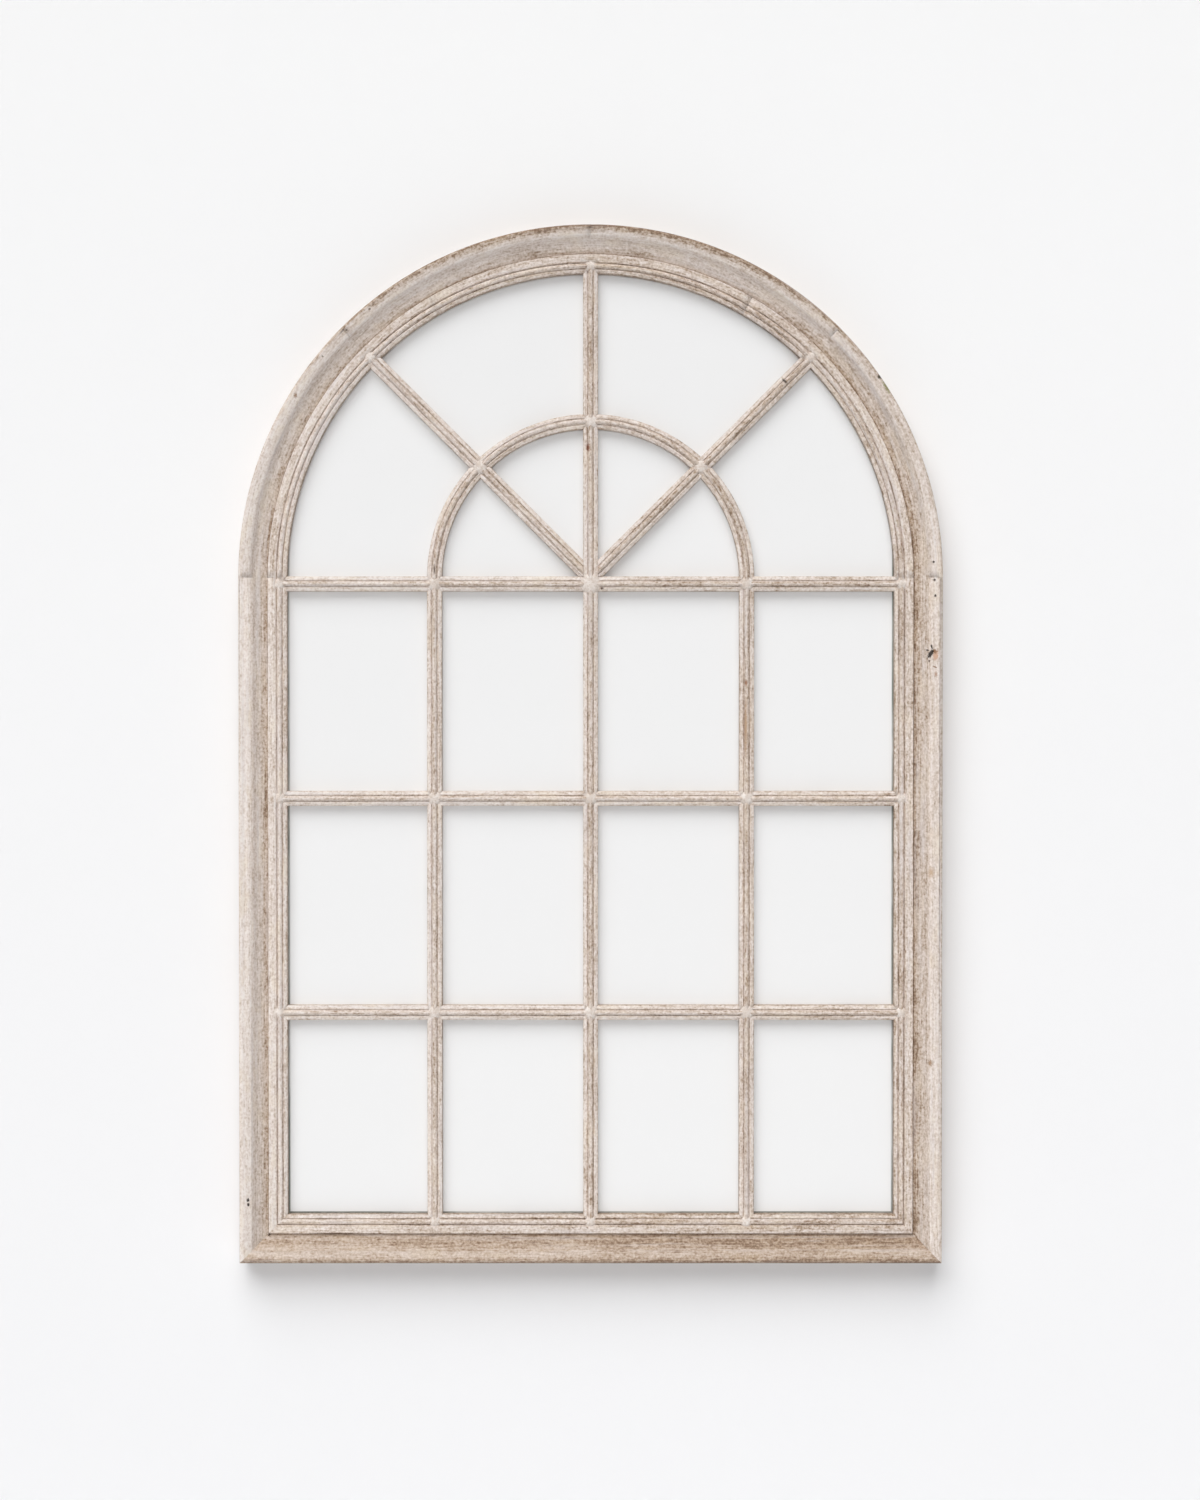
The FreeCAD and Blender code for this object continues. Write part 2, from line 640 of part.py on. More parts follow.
def sash_head(name, side, turned, seats):
    """A curved piece of the sash's head; seats are the angles of its bars from the upright."""
    step = 180 / SASH_HEAD_PIECES
    body = new_body(name)
    drawing = sketch(body, f"{name}_section", "XY_Plane", [placed(sash_section(), beside(side))])
    spin(body, drawing, str(step), reverse=side > 0)
    for seat in seats:
        lean = f"({seat})"
        notch_moulding(body, f"{name}_seat", [seat_point("0", LIP_X, 1)], turn=lean)
        cut_mortises(body, f"{name}_mortise", [mortise("0", LIP_X, 1)], turn=lean)
    if turned == 0:
        lip = f"({side} * {LIP_X})"
        notch_moulding(body, f"{name}_foot_seat", [swapped(seat_point(SPRINGING, lip, side))])
        cut_mortises(body, f"{name}_foot_mortise", [swapped(mortise(SPRINGING, lip, side))])
    spline_slot(body, f"{name}_first_slot", beside(side), *SASH_SPLINE)
    last = str(-side * step)
    spline_slot(body, f"{name}_last_slot", beside(side), *SASH_SPLINE, swing=last, forward=False)
    turn_about(body, (0, 1, 0), turned)


# ---- grille ----


def scribed(radius):
    """Where a bar's square end meets the inside of a curve, at the bar's two edges."""
    return f"sqrt({radius} * {radius} - {HALF_BAR} * {HALF_BAR})"


def finish_end(body, name, x, lip, way, swap=False):
    """Point a bar's moulded end, cut its core back to the lip and leave a stub tenon."""
    view = swapped if swap else (lambda loop: loop)
    corners = [view(loop) for loop in end_corners(x, lip, way)]
    notch_moulding(body, f"{name}_point", corners)
    front_cut(body, f"{name}_core", [view(end_block(x, lip, way))], CORE, f"{FACE} - {MARGIN}")
    drawing = sketch(body, f"{name}_tenon", "XZ_Plane", [view(tenon(x, lip, way))], shift="tenon_height")
    pad(body, drawing, "tenon_thickness")


def upright_bar(name, middle, top, crossings):
    """An upright bar: halved behind and mitred in front where a level bar crosses it."""
    body = new_body(name)
    section = placed(bar_section(), upright(middle))
    start = f"({LIP_Z} - {HALF_BAR})"
    drawing = sketch(body, f"{name}_section", "XY_Plane", [section], shift=start)
    pad(body, drawing, f"{top} + {HALF_BAR} - {start}")
    finish_end(body, f"{name}_foot", middle, LIP_Z, -1)
    squares = [crossing_square(middle, z) for z in crossings]
    front_cut(body, f"{name}_halvings", squares, MIDDLE, f"{FACE} - {MARGIN}")
    mitres = [loop for z in crossings for loop in crossing_mitres(middle, z)]
    notch_moulding(body, f"{name}_mitres", mitres)
    return body


def side_upright_bar(side):
    name = f"{'left' if side < 0 else 'right'}_upright_bar"
    middle = f"({side} * bar_pitch)"
    top = f"({SPRINGING} - {HALF_BAR})"
    body = upright_bar(name, middle, top, TRANSOMS[1:])
    finish_end(body, f"{name}_head", middle, top, 1)


def centre_upright_bar():
    top = f"({scribed(LIP_X)})"
    body = upright_bar("centre_upright_bar", "0", top, TRANSOMS)
    finish_end(body, "centre_upright_head", "0", top, 1)
    # the inner arch meets it from both sides
    seats = [swapped(seat_point("bar_pitch", f"({side} * {HALF_BAR})", -side)) for side in (-1, 1)]
    notch_moulding(body, "centre_upright_arch_seats", seats)
    notches = [swapped(mortise("bar_pitch", f"({side} * {HALF_BAR})", -side)) for side in (-1, 1)]
    cut_mortises(body, "centre_upright_arch_mortises", notches)


def level_bar(name, middle, crossings):
    """A level bar: halved in front, under the mitred mouldings, where an upright crosses it."""
    body = new_body(name)
    section = placed(bar_section(), level(middle))
    start = f"({LIP_X} + {HALF_BAR})"
    drawing = sketch(body, f"{name}_section", "YZ_Plane", [section], shift=f"-{start}")
    pad(body, drawing, f"2 * {start}")
    for side in (-1, 1):
        end = f"{name}_{'left' if side < 0 else 'right'}"
        finish_end(body, end, middle, f"({side} * {LIP_X})", side, swap=True)
    squares = [crossing_square(x, middle) for x in crossings]
    front_cut(body, f"{name}_halvings", squares, CORE, MIDDLE)
    notch_moulding(body, f"{name}_mitres", [crossing_gap(x, middle) for x in crossings])
    return body


def springing_bar():
    """The bar at the foot of the arch. The side uprights and the inner arch end on it."""
    body = level_bar("springing_bar", SPRINGING, ["0"])
    seats, mortises = [], []
    for middle in ("-bar_pitch", "bar_pitch"):
        for way in (-1, 1):
            edge = f"({SPRINGING} - {way} * {HALF_BAR})"
            seats.append(seat_point(middle, edge, way))
            mortises.append(mortise(middle, edge, way))
    notch_moulding(body, "springing_bar_seats", seats)
    cut_mortises(body, "springing_bar_mortises", mortises)


def inner_arch(side):
    """Half of the inner arch, from the springing bar to the centre upright, halved for its radial bar."""
    name = f"{'left' if side < 0 else 'right'}_inner_arch"
    body = new_body(name)
    middle = f"({side} * bar_pitch)"
    section = placed(bar_section(), upright(middle))
    foot = f"({SPRINGING} + {HALF_BAR})"
    drawing = sketch(body, f"{name}_foot_section", "XY_Plane", [section], shift=SPRINGING)
    pad(body, drawing, "springing_drop")
    drawing = sketch(body, f"{name}_section", "XY_Plane", [section])
    spin(body, drawing, "90", reverse=side > 0)
    finish_end(body, f"{name}_foot", middle, foot, -1)
    finish_end(body, f"{name}_head", "bar_pitch", f"({side} * {HALF_BAR})", -side, swap=True)
    turn = f"({-side} * fan_angle)"
    notch_moulding(body, f"{name}_mitres", [crossing_gap("0", "bar_pitch")], turn=turn)
    reach = f"({HALF_BAR} + {MARGIN})"
    slot = rectangle(f"-{HALF_BAR}", f"bar_pitch - {reach}", HALF_BAR, f"bar_pitch + {reach}")
    front_cut(body, f"{name}_halving", [slot], CORE, MIDDLE, turn=turn)


def radial_bar(side):
    """A radial bar of the fan. It is drawn upright and turned about the arch's axis."""
    name = f"{'left' if side < 0 else 'right'}_radial_bar"
    body = new_body(name)
    top = f"({scribed(LIP_X)})"
    drawing = sketch(body, f"{name}_section", "XY_Plane", [placed(bar_section(), upright("0"))])
    pad(body, drawing, f"{top} + {HALF_BAR}")
    finish_end(body, f"{name}_head", "0", top, 1)
    notch_moulding(body, f"{name}_mitres", crossing_mitres("0", "bar_pitch"))
    inner, outer = f"(bar_pitch - {HALF_BAR})", f"(bar_pitch + {HALF_BAR})"
    reach = "bar_width"
    low = f"sqrt({inner} * {inner} - {reach} * {reach})"
    high = f"sqrt({outer} * {outer} - {reach} * {reach})"
    ring = [
        (f"-{reach}", low, ("0", "0", inner)),
        (reach, low),
        (reach, high, ("0", "0", outer)),
        (f"-{reach}", high),
    ]
    front_cut(body, f"{name}_halving", [ring], MIDDLE, f"{FACE} - {MARGIN}")
    # its foot fits the corner between the centre upright and the springing bar
    edge = f"({side} * {HALF_BAR})"
    floor = f"({SPRINGING} + {HALF_BAR})"
    far = "bar_width * 2"
    corner = [
        (edge, floor),
        (f"{side} * {far}", floor),
        (f"{side} * {far}", f"-{far}"),
        (f"{-side} * {far}", f"-{far}"),
        (f"{-side} * {far}", far),
        (edge, far),
    ]
    top_height = f"(sash_height + {MARGIN})"
    turn = f"({side} * fan_angle)"
    front_cut(body, f"{name}_hub", [corner], top_height, f"{FACE} - {MARGIN}", turn=turn)
    turn_about(body, (0, 1, 0), side * value("fan_angle"))


# ---- mirror and backing board ----


def arched_sheet(label, inset, foot_inset, back, thickness):
    """A sheet with the frame's arched outline, its edge at the given distance in from it."""
    radius = f"({HALF} - ({inset}))"
    foot = f"{FOOT} + {foot_inset}"
    outline = [
        (f"-{radius}", foot),
        (radius, foot),
        (radius, "0", ("0", "0", radius)),
        ("0", radius, ("0", "0", radius)),
        (f"-{radius}", "0"),
    ]
    body = new_body(label)
    drawing = sketch(body, f"{label}_outline", "XZ_Plane", [outline], shift=back)
    pad(body, drawing, thickness)


def mirror_and_board():
    cover = f"({LIP} - glass_cover)"
    glass_back = f"({SEAT} + mirror_slack)"
    arched_sheet("mirror_glass", f"{cover} + mirror_clearance", cover, glass_back, "mirror_thickness")
    edge = f"{LEDGE} + board_clearance"
    arched_sheet("backing_board", edge, edge, "board_recess", "board_thickness")


# ---- small parts made of plain solids ----


def front_solid(name, corners, height, depth):
    """A flat-sided solid drawn in the front view, from a height above the back, forwards by depth."""
    drawing = doc.addObject("Sketcher::SketchObject", f"{name}_outline")
    drawing.Placement = FreeCAD.Placement(
        FreeCAD.Vector(0, -value(height), 0), FreeCAD.Rotation(FreeCAD.Vector(1, 0, 0), 90)
    )
    drawing.setExpression("Placement.Base.y", bound(f"-({height})"))
    draw_loop(drawing, corners)
    solid = doc.addObject("Part::Extrusion", name)
    solid.Base = drawing
    solid.DirMode = "Custom"
    solid.Dir = FreeCAD.Vector(0, -1, 0)
    solid.Solid = True
    solid.setExpression("LengthFwd", bound(depth))
    return solid


def wood_screw(name, x, z):
    """A screw driven forwards through a strap: its head on the strap, its shank in the stile."""
    seat = "-2 * strap_gauge"
    head = octagon(x, z, "screw_head_radius")
    head = front_solid(f"{name}_head", head, f"({seat} - screw_head_height)", "screw_head_height")
    length = "screw_length - pilot_clearance"
    shank = octagon(x, z, "screw_shank_radius")
    shank = front_solid(f"{name}_shank", shank, seat, f"({length} - ({seat}))")
    screw = doc.addObject("Part::Fuse", name)
    screw.Base = head
    screw.Tool = shank
    return screw


def group(label, items):
    """Identical pieces kept under one name as separate solids."""
    bundle = doc.addObject("Part::Compound", label.title().replace("_", ""))
    bundle.Label = label
    bundle.Links = items
    carry(bundle)


def glazing_points():
    """Flat steel points, their tips in the wood and their tails over the board."""
    points = []
    for index, (x, z, angle) in enumerate(board_points()):
        cosine, sine = math.cos(math.radians(value(angle))), math.sin(math.radians(value(angle)))
        half, tail, tip = "(point_width / 2)", "point_reach", "point_bite"
        shoulder = f"({tip} - point_tip)"
        outline = []
        for across, along in ((1, f"-{tail}"), (1, shoulder), (0, tip), (-1, shoulder), (-1, f"-{tail}")):
            right = f"{across} * {half} * {cosine} + {along} * {sine}"
            up = f"{along} * {cosine} - {across} * {half} * {sine}"
            outline.append((f"{x} + {right}", f"{z} + {up}"))
        points.append(front_solid(f"point_{index}", outline, "(board_recess - point_gauge)", "point_gauge"))
    group("glazing_points", points)


def spline_block(name, spline, angle, x=None, z=None):
    """A loose tongue across a joint: at an angle round the arch, or at a corner's mitre."""
    inset, width, middle, thickness, length = spline
    block = doc.addObject("Part::Box", name)
    block.setExpression("Length", bound(width))
    block.setExpression("Width", bound(thickness))
    block.setExpression("Height", bound(length))
    turn = math.radians(value(angle))
    block.Placement = FreeCAD.Placement(
        FreeCAD.Vector(), FreeCAD.Rotation(FreeCAD.Vector(0, 1, 0), value(angle))
    )
    # the box's own corner, from its middle, turned about Y
    side, up = f"({width} / 2)", f"({length} / 2)"
    cosine, sine = math.cos(turn), math.sin(turn)
    reach = f"({HALF} - {inset})"
    x = x or f"-{reach} * {cosine}"
    z = z or f"{reach} * {sine}"
    block.setExpression("Placement.Base.x", bound(f"{x} - {side} * {cosine} - {up} * {sine}"))
    block.setExpression("Placement.Base.y", bound(f"-{middle} - {thickness} / 2"))
    block.setExpression("Placement.Base.z", bound(f"{z} + {side} * {sine} - {up} * {cosine}"))
    return block


def splines():
    head = [
        spline_block(f"head_spline_{i}", OUTER_SPLINE, str(i * 180 / HEAD_PIECES))
        for i in range(HEAD_PIECES + 1)
    ]
    group("head_splines", head)
    sash = [
        spline_block(f"sash_spline_{i}", SASH_SPLINE, str(i * 180 / SASH_HEAD_PIECES))
        for i in range(SASH_HEAD_PIECES + 1)
    ]
    group("sash_head_splines", sash)
    for label, spline in (("corner_splines", OUTER_CORNER), ("sash_corner_splines", SASH_CORNER)):
        blocks = []
        for side in (-1, 1):
            x, z = f"{side} * ({HALF} - {spline[0]})", f"({FOOT} + {spline[0]})"
            blocks.append(spline_block(f"{label}_{side + 1}", spline, str(side * 45), x, z))
        group(label, blocks)


def bumpers():
    pads = []
    for side in (-1, 1):
        edge, inner = f"{side} * ({HALF} - bumper_inset)", f"{side} * ({HALF} - bumper_inset - bumper_width)"
        low = f"{FOOT} + bumper_inset"
        corners = rectangle(edge, low, inner, f"{low} + bumper_width")
        pads.append(front_solid(f"bumper_{side + 1}", corners, "(-bumper_height)", "bumper_height"))
    group("wall_bumpers", pads)


# ---- ring hangers ----


def hanger_strap(side):
    """A strap folded round the ring's wire, its two layers flat on the stile, seen from the side."""
    name = f"{'left' if side < 0 else 'right'}_hanger_strap"
    body = new_body(name)
    flat = "(2 * strap_gauge)"
    meet = f"{PIN_Z} - sqrt({EYE_OUTER} * {EYE_OUTER} - ({EYE_OUTER} - {flat}) * ({EYE_OUTER} - {flat}))"
    end = f"{PIN_Z} - strap_length"
    round_eye = (EYE_OUTER, PIN_Z, EYE_OUTER)
    outline = [
        ("0", end),
        (flat, end),
        (flat, meet, round_eye),
        (f"2 * {EYE_OUTER}", PIN_Z, round_eye),
        (EYE_OUTER, f"{PIN_Z} + {EYE_OUTER}", round_eye),
        ("0", PIN_Z),
    ]
    eye = [(EYE_OUTER, PIN_Z, EYE_RADIUS)]
    start = f"{side} * {STRAP_LINE} - strap_width / 2"
    drawing = sketch(body, f"{name}_side", "YZ_Plane", [outline, eye], shift=start)
    pad(body, drawing, "strap_width")
    radius = "(screw_shank_radius + screw_play)"
    holes = [octagon(f"{side} * {STRAP_LINE}", f"({PIN_Z} - {drop})", radius) for drop in SCREW_DROPS]
    front_cut(body, f"{name}_holes", holes, MARGIN, f"-{flat} - {MARGIN}")


def hanger_ring(side):
    """A ring of eight-sided wire, drawn about its own pin line, then hung so that it clears its strap."""
    name = f"{'left' if side < 0 else 'right'}_hanger_ring"
    body = new_body(name)
    half, bow = "(ring_width / 2)", "(ring_bow / 2)"
    path = [
        ("0", "0"),
        (half, "0"),
        (half, "-(ring_drop - ring_shoulder)"),
        (bow, "-ring_drop"),
        (f"-{bow}", "-ring_drop"),
        (f"-{half}", "-(ring_drop - ring_shoulder)"),
        (f"-{half}", "0"),
    ]
    spine = sketch(body, f"{name}_spine", "XZ_Plane", [path])
    wire = sketch(body, f"{name}_wire", "YZ_Plane", [octagon("0", "0", "wire_radius")])
    sweep = body.newObject("PartDesign::AdditivePipe", f"{name}_sweep")
    sweep.Profile = wire
    sweep.Spine = spine
    sweep.Transition = "Right corner"
    clear = value(f"2 * strap_gauge + ring_rest_gap + wire_radius - {EYE_OUTER}")
    tilt = math.degrees(math.asin(clear / value("ring_drop")))
    turn_about(body, (1, 0, 0), tilt)
    body.setExpression("Placement.Base.x", bound(f"{side} * {STRAP_LINE}"))
    body.setExpression("Placement.Base.y", bound(f"{BACK} + {EYE_OUTER}"))
    body.setExpression("Placement.Base.z", bound(f"straight_height + {PIN_Z}"))


def hanger_screws():
    screws = []
    for side in (-1, 1):
        for drop in SCREW_DROPS:
            name = f"hanger_screw_{len(screws)}"
            screws.append(wood_screw(name, f"{side} * {STRAP_LINE}", f"({PIN_Z} - {drop})"))
    group("hanger_screws", screws)


def build():
    for side in (-1, 1):
        outer_stile(side)
        sash_stile(side)
        side_upright_bar(side)
        inner_arch(side)
        radial_bar(side)
        hanger_strap(side)
        hanger_ring(side)
    bottom_rail()
    head_names = ("head_left_lower", "head_left_upper", "head_right_upper", "head_right_lower")
    for index, name in enumerate(head_names):
        head_segment(index, name)
    sash_bottom_rail()
    sash_head("sash_head_left", -1, 0, ["fan_angle"])
    sash_head("sash_head_crown", -1, 180 / SASH_HEAD_PIECES, [str(90 - 90 / SASH_HEAD_PIECES)])
    sash_head("sash_head_right", 1, 0, ["-fan_angle"])
    centre_upright_bar()
    springing_bar()
    level_bar("middle_level_bar", TRANSOMS[1], LEVELS)
    level_bar("lower_level_bar", TRANSOMS[2], LEVELS)
    mirror_and_board()
    glazing_points()
    hanger_screws()
    splines()
    bumpers()


def check_and_write():
    os.makedirs("parts", exist_ok=True)
    doc.recompute()
    nodes = [item for item in doc.Objects if item.TypeId in ("PartDesign::Body", "Part::Compound")]
    failed = [item.Name for item in doc.Objects if {"Invalid", "Error"} & set(item.State)]
    failed += [node.Label for node in nodes if node.Shape.isNull() or not node.Shape.isValid()]
    if failed:
        raise RuntimeError(f"These failed: {failed}")
    for node in nodes:
        solids = node.Shape.Solids
        print(node.Label, len(solids), "solids,", round(node.Shape.Volume / 1000, 2), "cm3")
        node.Shape.exportStep(f"parts/{node.Label}.step")


build()
check_and_write()
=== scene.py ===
import bpy
import json
import math
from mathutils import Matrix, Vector


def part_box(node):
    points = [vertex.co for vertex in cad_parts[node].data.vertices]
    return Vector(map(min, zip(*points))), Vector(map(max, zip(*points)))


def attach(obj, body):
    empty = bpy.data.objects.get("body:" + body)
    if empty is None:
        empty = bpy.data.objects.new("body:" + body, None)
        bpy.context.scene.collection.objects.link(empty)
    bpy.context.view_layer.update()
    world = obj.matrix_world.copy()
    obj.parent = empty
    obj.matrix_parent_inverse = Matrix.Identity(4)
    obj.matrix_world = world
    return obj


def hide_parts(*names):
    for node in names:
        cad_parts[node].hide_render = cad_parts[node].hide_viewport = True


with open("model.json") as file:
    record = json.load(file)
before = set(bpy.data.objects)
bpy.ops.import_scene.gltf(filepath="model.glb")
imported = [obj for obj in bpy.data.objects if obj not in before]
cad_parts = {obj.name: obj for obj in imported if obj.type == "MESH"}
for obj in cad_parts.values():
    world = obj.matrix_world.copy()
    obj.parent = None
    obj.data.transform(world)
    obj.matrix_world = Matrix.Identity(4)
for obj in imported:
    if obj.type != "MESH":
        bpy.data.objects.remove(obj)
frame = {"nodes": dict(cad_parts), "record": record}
nodes = frame["nodes"]
bodyOf = {piece: body for body, held in frame["record"]["behaviour"]["bodies"].items() for piece in held}
slotOf = {part["node"]: part["material_slot"] for part in frame["record"]["subparts"]}
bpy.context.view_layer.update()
print("frame loaded:", len(nodes), "nodes")

archCentre = 0.878  # height of the arch's centre
backPlane = 0.0165  # y of the frame's flat back
wallPlane = 0.0235  # y of the wall, at the bumpers
wallGap = 0.0005  # keeps the wall clear of the bumpers
frontPlane = -0.0235  # y of the rim's front
halfWidth = 0.45


# a screen colour of 0 to 255 as the linear colour that a shader takes
def shade(red, green, blue):
    def linear(level):
        level = level / 255
        return level / 12.92 if level <= 0.04045 else ((level + 0.055) / 1.055) ** 2.4
    return (linear(red), linear(green), linear(blue), 1.0)


def deselectAll():
    if bpy.context.object and bpy.context.object.mode != "OBJECT":
        bpy.ops.object.mode_set(mode="OBJECT")
    bpy.ops.object.select_all(action="DESELECT")


def makeActive(piece):
    deselectAll()
    piece.select_set(True)
    bpy.context.view_layer.objects.active = piece


# camera, as far off as a product photographer stands

camera = {"distance": 4.0, "across": 0.0120, "aim": 0.6580, "pitch": 1.0, "frameWidth": 1.532}

drop = math.radians(camera["pitch"])
bpy.ops.object.camera_add(
    location=(
        camera["across"],
        frontPlane - camera["distance"] * math.cos(drop),
        camera["aim"] + camera["distance"] * math.sin(drop),
    ),
    rotation=(math.radians(90) - drop, 0, 0),
)
viewer = bpy.context.object
viewer.name = "viewer"
viewer.data.sensor_fit = "HORIZONTAL"
viewer.data.sensor_width = 36
viewer.data.lens = 36 * camera["distance"] / camera["frameWidth"]
viewer.data.dof.use_dof = False
bpy.context.scene.camera = viewer
bpy.context.scene.view_settings.view_transform = "Standard"

# broad lamps, each named for where it stands: the key is above and to the left, the fill beside the camera,
# and the third shines through the wall on the back

lamps = {
    "aboveLeft": {"from": (-0.30, -1.0, 1.16), "spread": 54, "power": 2.72, "mirrored": False},
    "besideCamera": {"from": (-0.04, -1.0, 0.05), "spread": 24, "power": 0.46, "mirrored": False},
    "behindWall": {"from": (0.4, 1.0, 0.5), "spread": 60, "power": 1.2, "mirrored": True},
}

for lampName, lamp in lamps.items():
    bpy.ops.object.light_add(
        type="SUN", rotation=(-Vector(lamp["from"])).to_track_quat("-Z", "Y").to_euler()
    )
    light = bpy.context.object
    light.name = lampName
    light.data.angle = math.radians(lamp["spread"])
    light.data.energy = lamp["power"]
    light.visible_glossy = lamp["mirrored"]  # the mirror faces the front lamps, and shows the room instead

room = {"light": 0.10, "seen": 0.94}

world = bpy.data.worlds.new("paleRoom")
bpy.context.scene.world = world
world.use_nodes = True
sky = world.node_tree
sky.nodes.clear()
rays = sky.nodes.new("ShaderNodeLightPath")
either = sky.nodes.new("ShaderNodeMath")
either.operation = "MAXIMUM"
orGlass = sky.nodes.new("ShaderNodeMath")
orGlass.operation = "MAXIMUM"
level = sky.nodes.new("ShaderNodeMapRange")
level.inputs["To Min"].default_value = room["light"]
level.inputs["To Max"].default_value = room["seen"]
glow = sky.nodes.new("ShaderNodeBackground")
glow.inputs["Color"].default_value = (1, 1, 1, 1)
outside = sky.nodes.new("ShaderNodeOutputWorld")
sky.links.new(rays.outputs["Is Camera Ray"], either.inputs[0])
sky.links.new(rays.outputs["Is Glossy Ray"], either.inputs[1])
sky.links.new(either.outputs[0], orGlass.inputs[0])
sky.links.new(rays.outputs["Is Transmission Ray"], orGlass.inputs[1])
sky.links.new(orGlass.outputs[0], level.inputs["Value"])
sky.links.new(level.outputs["Result"], glow.inputs["Strength"])
sky.links.new(glow.outputs[0], outside.inputs[0])
print("camera and lamps done")


# short calls for adding and joining the nodes of one material
class Wiring:
    def __init__(self, name):
        self.material = bpy.data.materials.new(name)
        self.material.use_nodes = True
        self.tree = self.material.node_tree
        self.tree.nodes.clear()

    def add(self, kind, inputs=None, **settings):
        node = self.tree.nodes.new("ShaderNode" + kind)
        for setting, chosen in settings.items():
            setattr(node, setting, chosen)
        for socket, given in (inputs or {}).items():
            if isinstance(given, bpy.types.NodeSocket):
                self.tree.links.new(given, node.inputs[socket])
            else:
                node.inputs[socket].default_value = given
        return node

    def math(self, operation, first, second=0.0, third=0.0):
        node = self.add("Math", {0: first, 1: second, 2: third}, operation=operation)
        return node.outputs[0]

    def mix(self, factor, first, second, blend="MIX"):
        node = self.add("Mix", data_type="RGBA", blend_type=blend)
        for socket, given in (("Factor_Float", factor), ("A_Color", first), ("B_Color", second)):
            found = next(each for each in node.inputs if each.identifier == socket)
            if isinstance(given, bpy.types.NodeSocket):
                self.tree.links.new(given, found)
            else:
                found.default_value = given
        return next(each for each in node.outputs if each.identifier == "Result_Color")

    def span(self, value, low, high, start=0.0, end=1.0, smooth=True):
        node = self.add(
            "MapRange",
            {"Value": value, "From Min": low, "From Max": high, "To Min": start, "To Max": end},
            interpolation_type="SMOOTHSTEP" if smooth else "LINEAR",
        )
        return node.outputs["Result"]

    def ramp(self, value, stops):
        node = self.add("ValToRGB", {"Fac": value})
        for _ in stops[2:]:
            node.color_ramp.elements.new(0.5)
        for element, (place, colour) in zip(node.color_ramp.elements, stops):
            element.position = place
            element.color = colour
        return node.outputs["Color"]

    def noise(self, where, scale, detail=4.0, roughness=0.55, distortion=0.0):
        node = self.add(
            "TexNoise",
            {"Vector": where, "Scale": scale, "Detail": detail, "Roughness": roughness,
             "Distortion": distortion},
        )
        return node.outputs["Fac"]

    def finish(self, colour, roughness, height=None, bump=(0.4, 0.001), **fixed):
        skin = self.add("BsdfPrincipled")
        self.tree.links.new(colour, skin.inputs["Base Color"])
        if isinstance(roughness, bpy.types.NodeSocket):
            self.tree.links.new(roughness, skin.inputs["Roughness"])
        else:
            skin.inputs["Roughness"].default_value = roughness
        for socket, given in fixed.items():
            skin.inputs[socket.replace("_", " ")].default_value = given
        if height is not None:
            lift = self.add("Bump", {"Height": height, "Strength": bump[0], "Distance": bump[1]})
            self.tree.links.new(lift.outputs["Normal"], skin.inputs["Normal"])
        self.add("OutputMaterial", {"Surface": skin.outputs[0]})
        return self.material


# the wall behind and the floor below, plain and pale, but for the wall's painted light: it is painted paler
# towards its top, which evens out the lamps on it; from behind, the wall lets sight and lamps through

stageLook = {
    "wallFoot": shade(241, 241, 242), "wallTop": shade(252, 252, 252), "wallCloud": shade(240, 240, 242),
    "footHeight": -1.2, "topHeight": 0.55,  # from the wall's middle, where its two tones are reached
    "floor": shade(222, 222, 223), "floorCloud": shade(214, 214, 216),
    "size": 9.0, "wallMiddle": 1.0, "floorHeight": -1.7,
}

wiring = Wiring("paleWall")
placeInRoom = wiring.add("TexCoord").outputs["Object"]
tone = wiring.noise(placeInRoom, 1.5, detail=2)
upWall = wiring.add("SeparateXYZ", {0: placeInRoom}).outputs["Y"]
# painted light: the wall's paint runs from darker at its foot to paler at its top
climb = wiring.span(upWall, stageLook["footHeight"], stageLook["topHeight"], smooth=False)
paint = wiring.mix(climb, stageLook["wallFoot"], stageLook["wallTop"])
paint = wiring.mix(wiring.span(tone, 0.3, 0.7, 0, 0.06), paint, stageLook["wallCloud"])
matt = wiring.add("BsdfDiffuse", {"Color": paint})
through = wiring.add("BsdfTransparent")
behind = wiring.add("NewGeometry").outputs["Backfacing"]
rayKinds = wiring.add("LightPath").outputs
unseen = wiring.math("MAXIMUM", behind, rayKinds["Is Shadow Ray"])
unseen = wiring.math("MAXIMUM", unseen, rayKinds["Is Glossy Ray"])  # steel at the back mirrors the room
shown = wiring.add("MixShader", {0: unseen, 1: matt.outputs[0], 2: through.outputs[0]})
wiring.add("OutputMaterial", {"Surface": shown.outputs[0]})
wallPaint = wiring.material

wiring = Wiring("paleFloor")
placeInRoom = wiring.add("TexCoord").outputs["Object"]
tone = wiring.noise(placeInRoom, 2.0, detail=3)
paint = wiring.mix(wiring.span(tone, 0.3, 0.7, 0, 0.08), stageLook["floor"], stageLook["floorCloud"])
matt = wiring.add("BsdfDiffuse", {"Color": paint})
glare = wiring.add("Emission", {"Color": (1, 1, 1, 1), "Strength": 1.0})
mirrored = wiring.add("LightPath").outputs["Is Glossy Ray"]
shown = wiring.add("MixShader", {0: mirrored, 1: matt.outputs[0], 2: glare.outputs[0]})
wiring.add("OutputMaterial", {"Surface": shown.outputs[0]})
floorPaint = wiring.material

